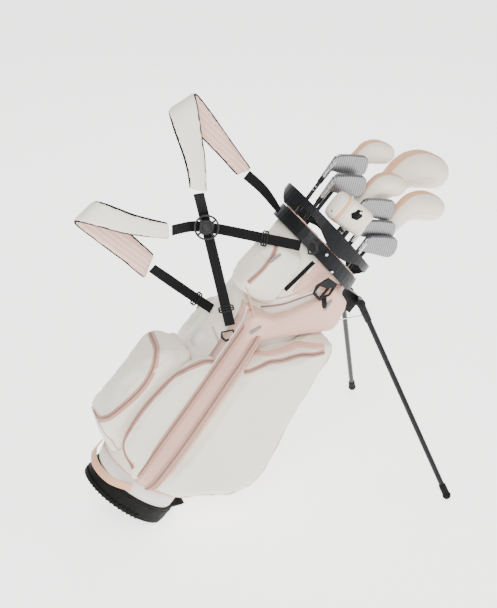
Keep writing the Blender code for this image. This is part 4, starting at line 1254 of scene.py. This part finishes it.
def build_covers():
    """Each cover is a padded sock with a stripe over its crown, seams down its sides and a band round its neck."""
    for index, club in enumerate(("driver", "fairway_wood", "hybrid_one", "hybrid_two")):
        scale = CLUBS[club][3]
        made = cover_skin(club)
        wrinkle(made, 0.0009, 30.0, 20 + index)
        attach(made, club)
        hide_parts(club + "_cover")
        skin = tree_of(made)
        stripe = cover_hits(club, skin, (-1.0, 0.0), 2, 9)
        ribbon(club + "_cover_stripe", stripe, 0.026 * scale + 0.006, "tan", 0.0002, 0.0008, skin, body=club)
        for edge in (-1, 1):
            line = cover_hits(club, skin, (-0.96, 0.28 * edge), 2, 9)
            seam(club + "_cover_seam_%d" % (edge > 0), line, "stitch", body=club, width=0.0022)
            line = cover_hits(club, skin, (0.15, 1.0 * edge), 0, 8)
            seam(club + "_cover_side_%d" % (edge > 0), line, "stitch", body=club, width=0.0020)
        neck = neck_hits(club, skin, (-0.150 * scale))
        if len(neck) > 20:
            ribbon(club + "_cover_band", neck, 0.009, "tan", 0.0002, 0.0010, skin, closed=True, body=club)
    made = cad_copy("putter_cover_padding", "putter_cover", "cover")
    inflate(made, 0.0040, 0.003, 0.0, 2.0, frames=12, relax=4)
    wrinkle(made, 0.0008, 24.0, 31)
    refine(made)
    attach(made, "putter")
    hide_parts("putter_cover")
    skin = tree_of(made)
    at = cover_frame("putter")
    for name, x, mat, width in (("putter_cover_stripe", -0.066, "tan", 0.012),
                                ("putter_cover_seam", -0.054, "stitch", 0.002),
                                ("putter_cover_edge", -0.078, "stitch", 0.002)):
        turns = [2 * math.pi * k / 48 for k in range(48)]
        outs = [Vector((0, math.cos(turn), math.sin(turn))) for turn in turns]
        rays = [(at @ (Vector((x, 0, 0.008)) + out * 0.09), inward_aim(at, out)) for out in outs]
        line = ray_hits(skin, rays, 0.1)
        ribbon(name, line, width, mat, 0.0002, 0.0008, skin, closed=True, body="putter")
    outline = []
    for x, z in ((-0.044, 0.012), (-0.034, 0.030), (-0.020, 0.034), (-0.012, 0.022), (-0.018, 0.008),
                 (-0.034, 0.004)):
        place, normal, _, _ = skin.ray_cast(at @ Vector((x, -0.09, z)), D(0, 1, 0), 0.1)
        outline.append((place, normal))
    flat_panel("putter_cover_opening", outline, "binding", 0.0006, "putter")


# ---------------------------------------------------------------- frame parts that stay as they are

KEPT = {"rubber": "base_boot", "black": "toe_lever leg_bracket side_hook cuff_hook",
        "steel": "actuator_rod near_link far_link", "charcoal": "cuff_collar cuff_hoop towel_ring strap_hub",
        "gunmetal": "panel_pull column_pull valuables_pull", "lining": "divider_sheet",
        "shaft": "driver fairway_wood hybrid_one hybrid_two putter"}
LOOK_OF = {name: mat for mat, names in KEPT.items() for name in names.split()}


def finish_kept():
    for name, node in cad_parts.items():
        mat = LOOK_OF.get(name)
        if name.endswith("_leg_foot"):
            mat = "rubber"
        elif name.endswith(("_leg_tube", "_leg_head")):
            mat = "leg"
        elif name.endswith("_shaft"):
            mat = "shaft"
        elif name.startswith("iron") and name.endswith("_head"):
            mat = "iron"
        if mat is None:
            continue
        if node.material_slots:
            node.material_slots[0].material = MAT[mat]
        else:
            node.data.materials.append(MAT[mat])


build_bag_details()
build_foot_of_bag()
build_straps()
build_pads()
build_hub_details()
build_cuff()
build_shaft_bands()
build_covers()
finish_kept()


# ---------------------------------------------------------------- stage, light and camera


def build_stage():
    bm = bmesh.new()
    bmesh.ops.create_grid(bm, x_segments=2, y_segments=2, size=80.0)
    floor = from_bm("floor", bm, smooth=False)
    look = Look("pale_floor", 0.75, specular=0.25)
    look.color(look.mottle((0.93, 0.93, 0.915), 0.010, 1.5))
    look.bump(look.noise(220.0, 3.0), 0.0004, 0.15)
    look.set("Emission Color", (1.0, 1.0, 0.98, 1.0))
    look.set("Emission Strength", 2.2)
    floor.data.materials.append(look.mat)


def area_light(name, place, target, size, power, color=(1, 1, 1)):
    light = bpy.data.lights.new(name, "AREA")
    light.shape = "DISK"
    light.size = size
    light.energy = power
    light.color = color
    lamp = bpy.data.objects.new(name, light)
    bpy.context.scene.collection.objects.link(lamp)
    lamp.location = place
    lamp.rotation_euler = (Vector(target) - Vector(place)).to_track_quat("-Z", "Y").to_euler()


def build_light():
    world = bpy.data.worlds.new("studio")
    world.use_nodes = True
    bpy.context.scene.world = world
    sky = world.node_tree.nodes["Background"]
    sky.inputs["Color"].default_value = (0.95, 0.955, 0.96, 1)
    sky.inputs["Strength"].default_value = 0.80
    middle = (0.3, 0.0, 0.5)
    area_light("key", (-0.9, -2.4, 3.0), middle, 1.8, 120, (1.0, 0.985, 0.965))
    area_light("fill", (2.6, -1.8, 1.6), middle, 2.0, 22)
    area_light("rim", (1.4, 2.2, 2.4), middle, 1.6, 30)


CAMERA_AZIMUTH = math.radians(-22.3)
CAMERA_ELEVATION = math.radians(30.0)
CAMERA_DISTANCE = 2.75
CAMERA_TARGET = (0.2833, 0, 0.5468)
CAMERA_LENS = 80.73


def build_camera():
    level = math.cos(CAMERA_ELEVATION)
    back = Vector((math.sin(CAMERA_AZIMUTH) * level, -math.cos(CAMERA_AZIMUTH) * level,
                   math.sin(CAMERA_ELEVATION)))
    camera = bpy.data.cameras.new("camera")
    camera.sensor_fit = "HORIZONTAL"
    camera.sensor_width = 36
    camera.lens = CAMERA_LENS
    made = bpy.data.objects.new("camera", camera)
    bpy.context.scene.collection.objects.link(made)
    made.location = Vector(CAMERA_TARGET) + back * CAMERA_DISTANCE
    made.rotation_euler = (-back).to_track_quat("-Z", "Y").to_euler()
    bpy.context.scene.camera = made


build_stage()
build_light()
build_camera()
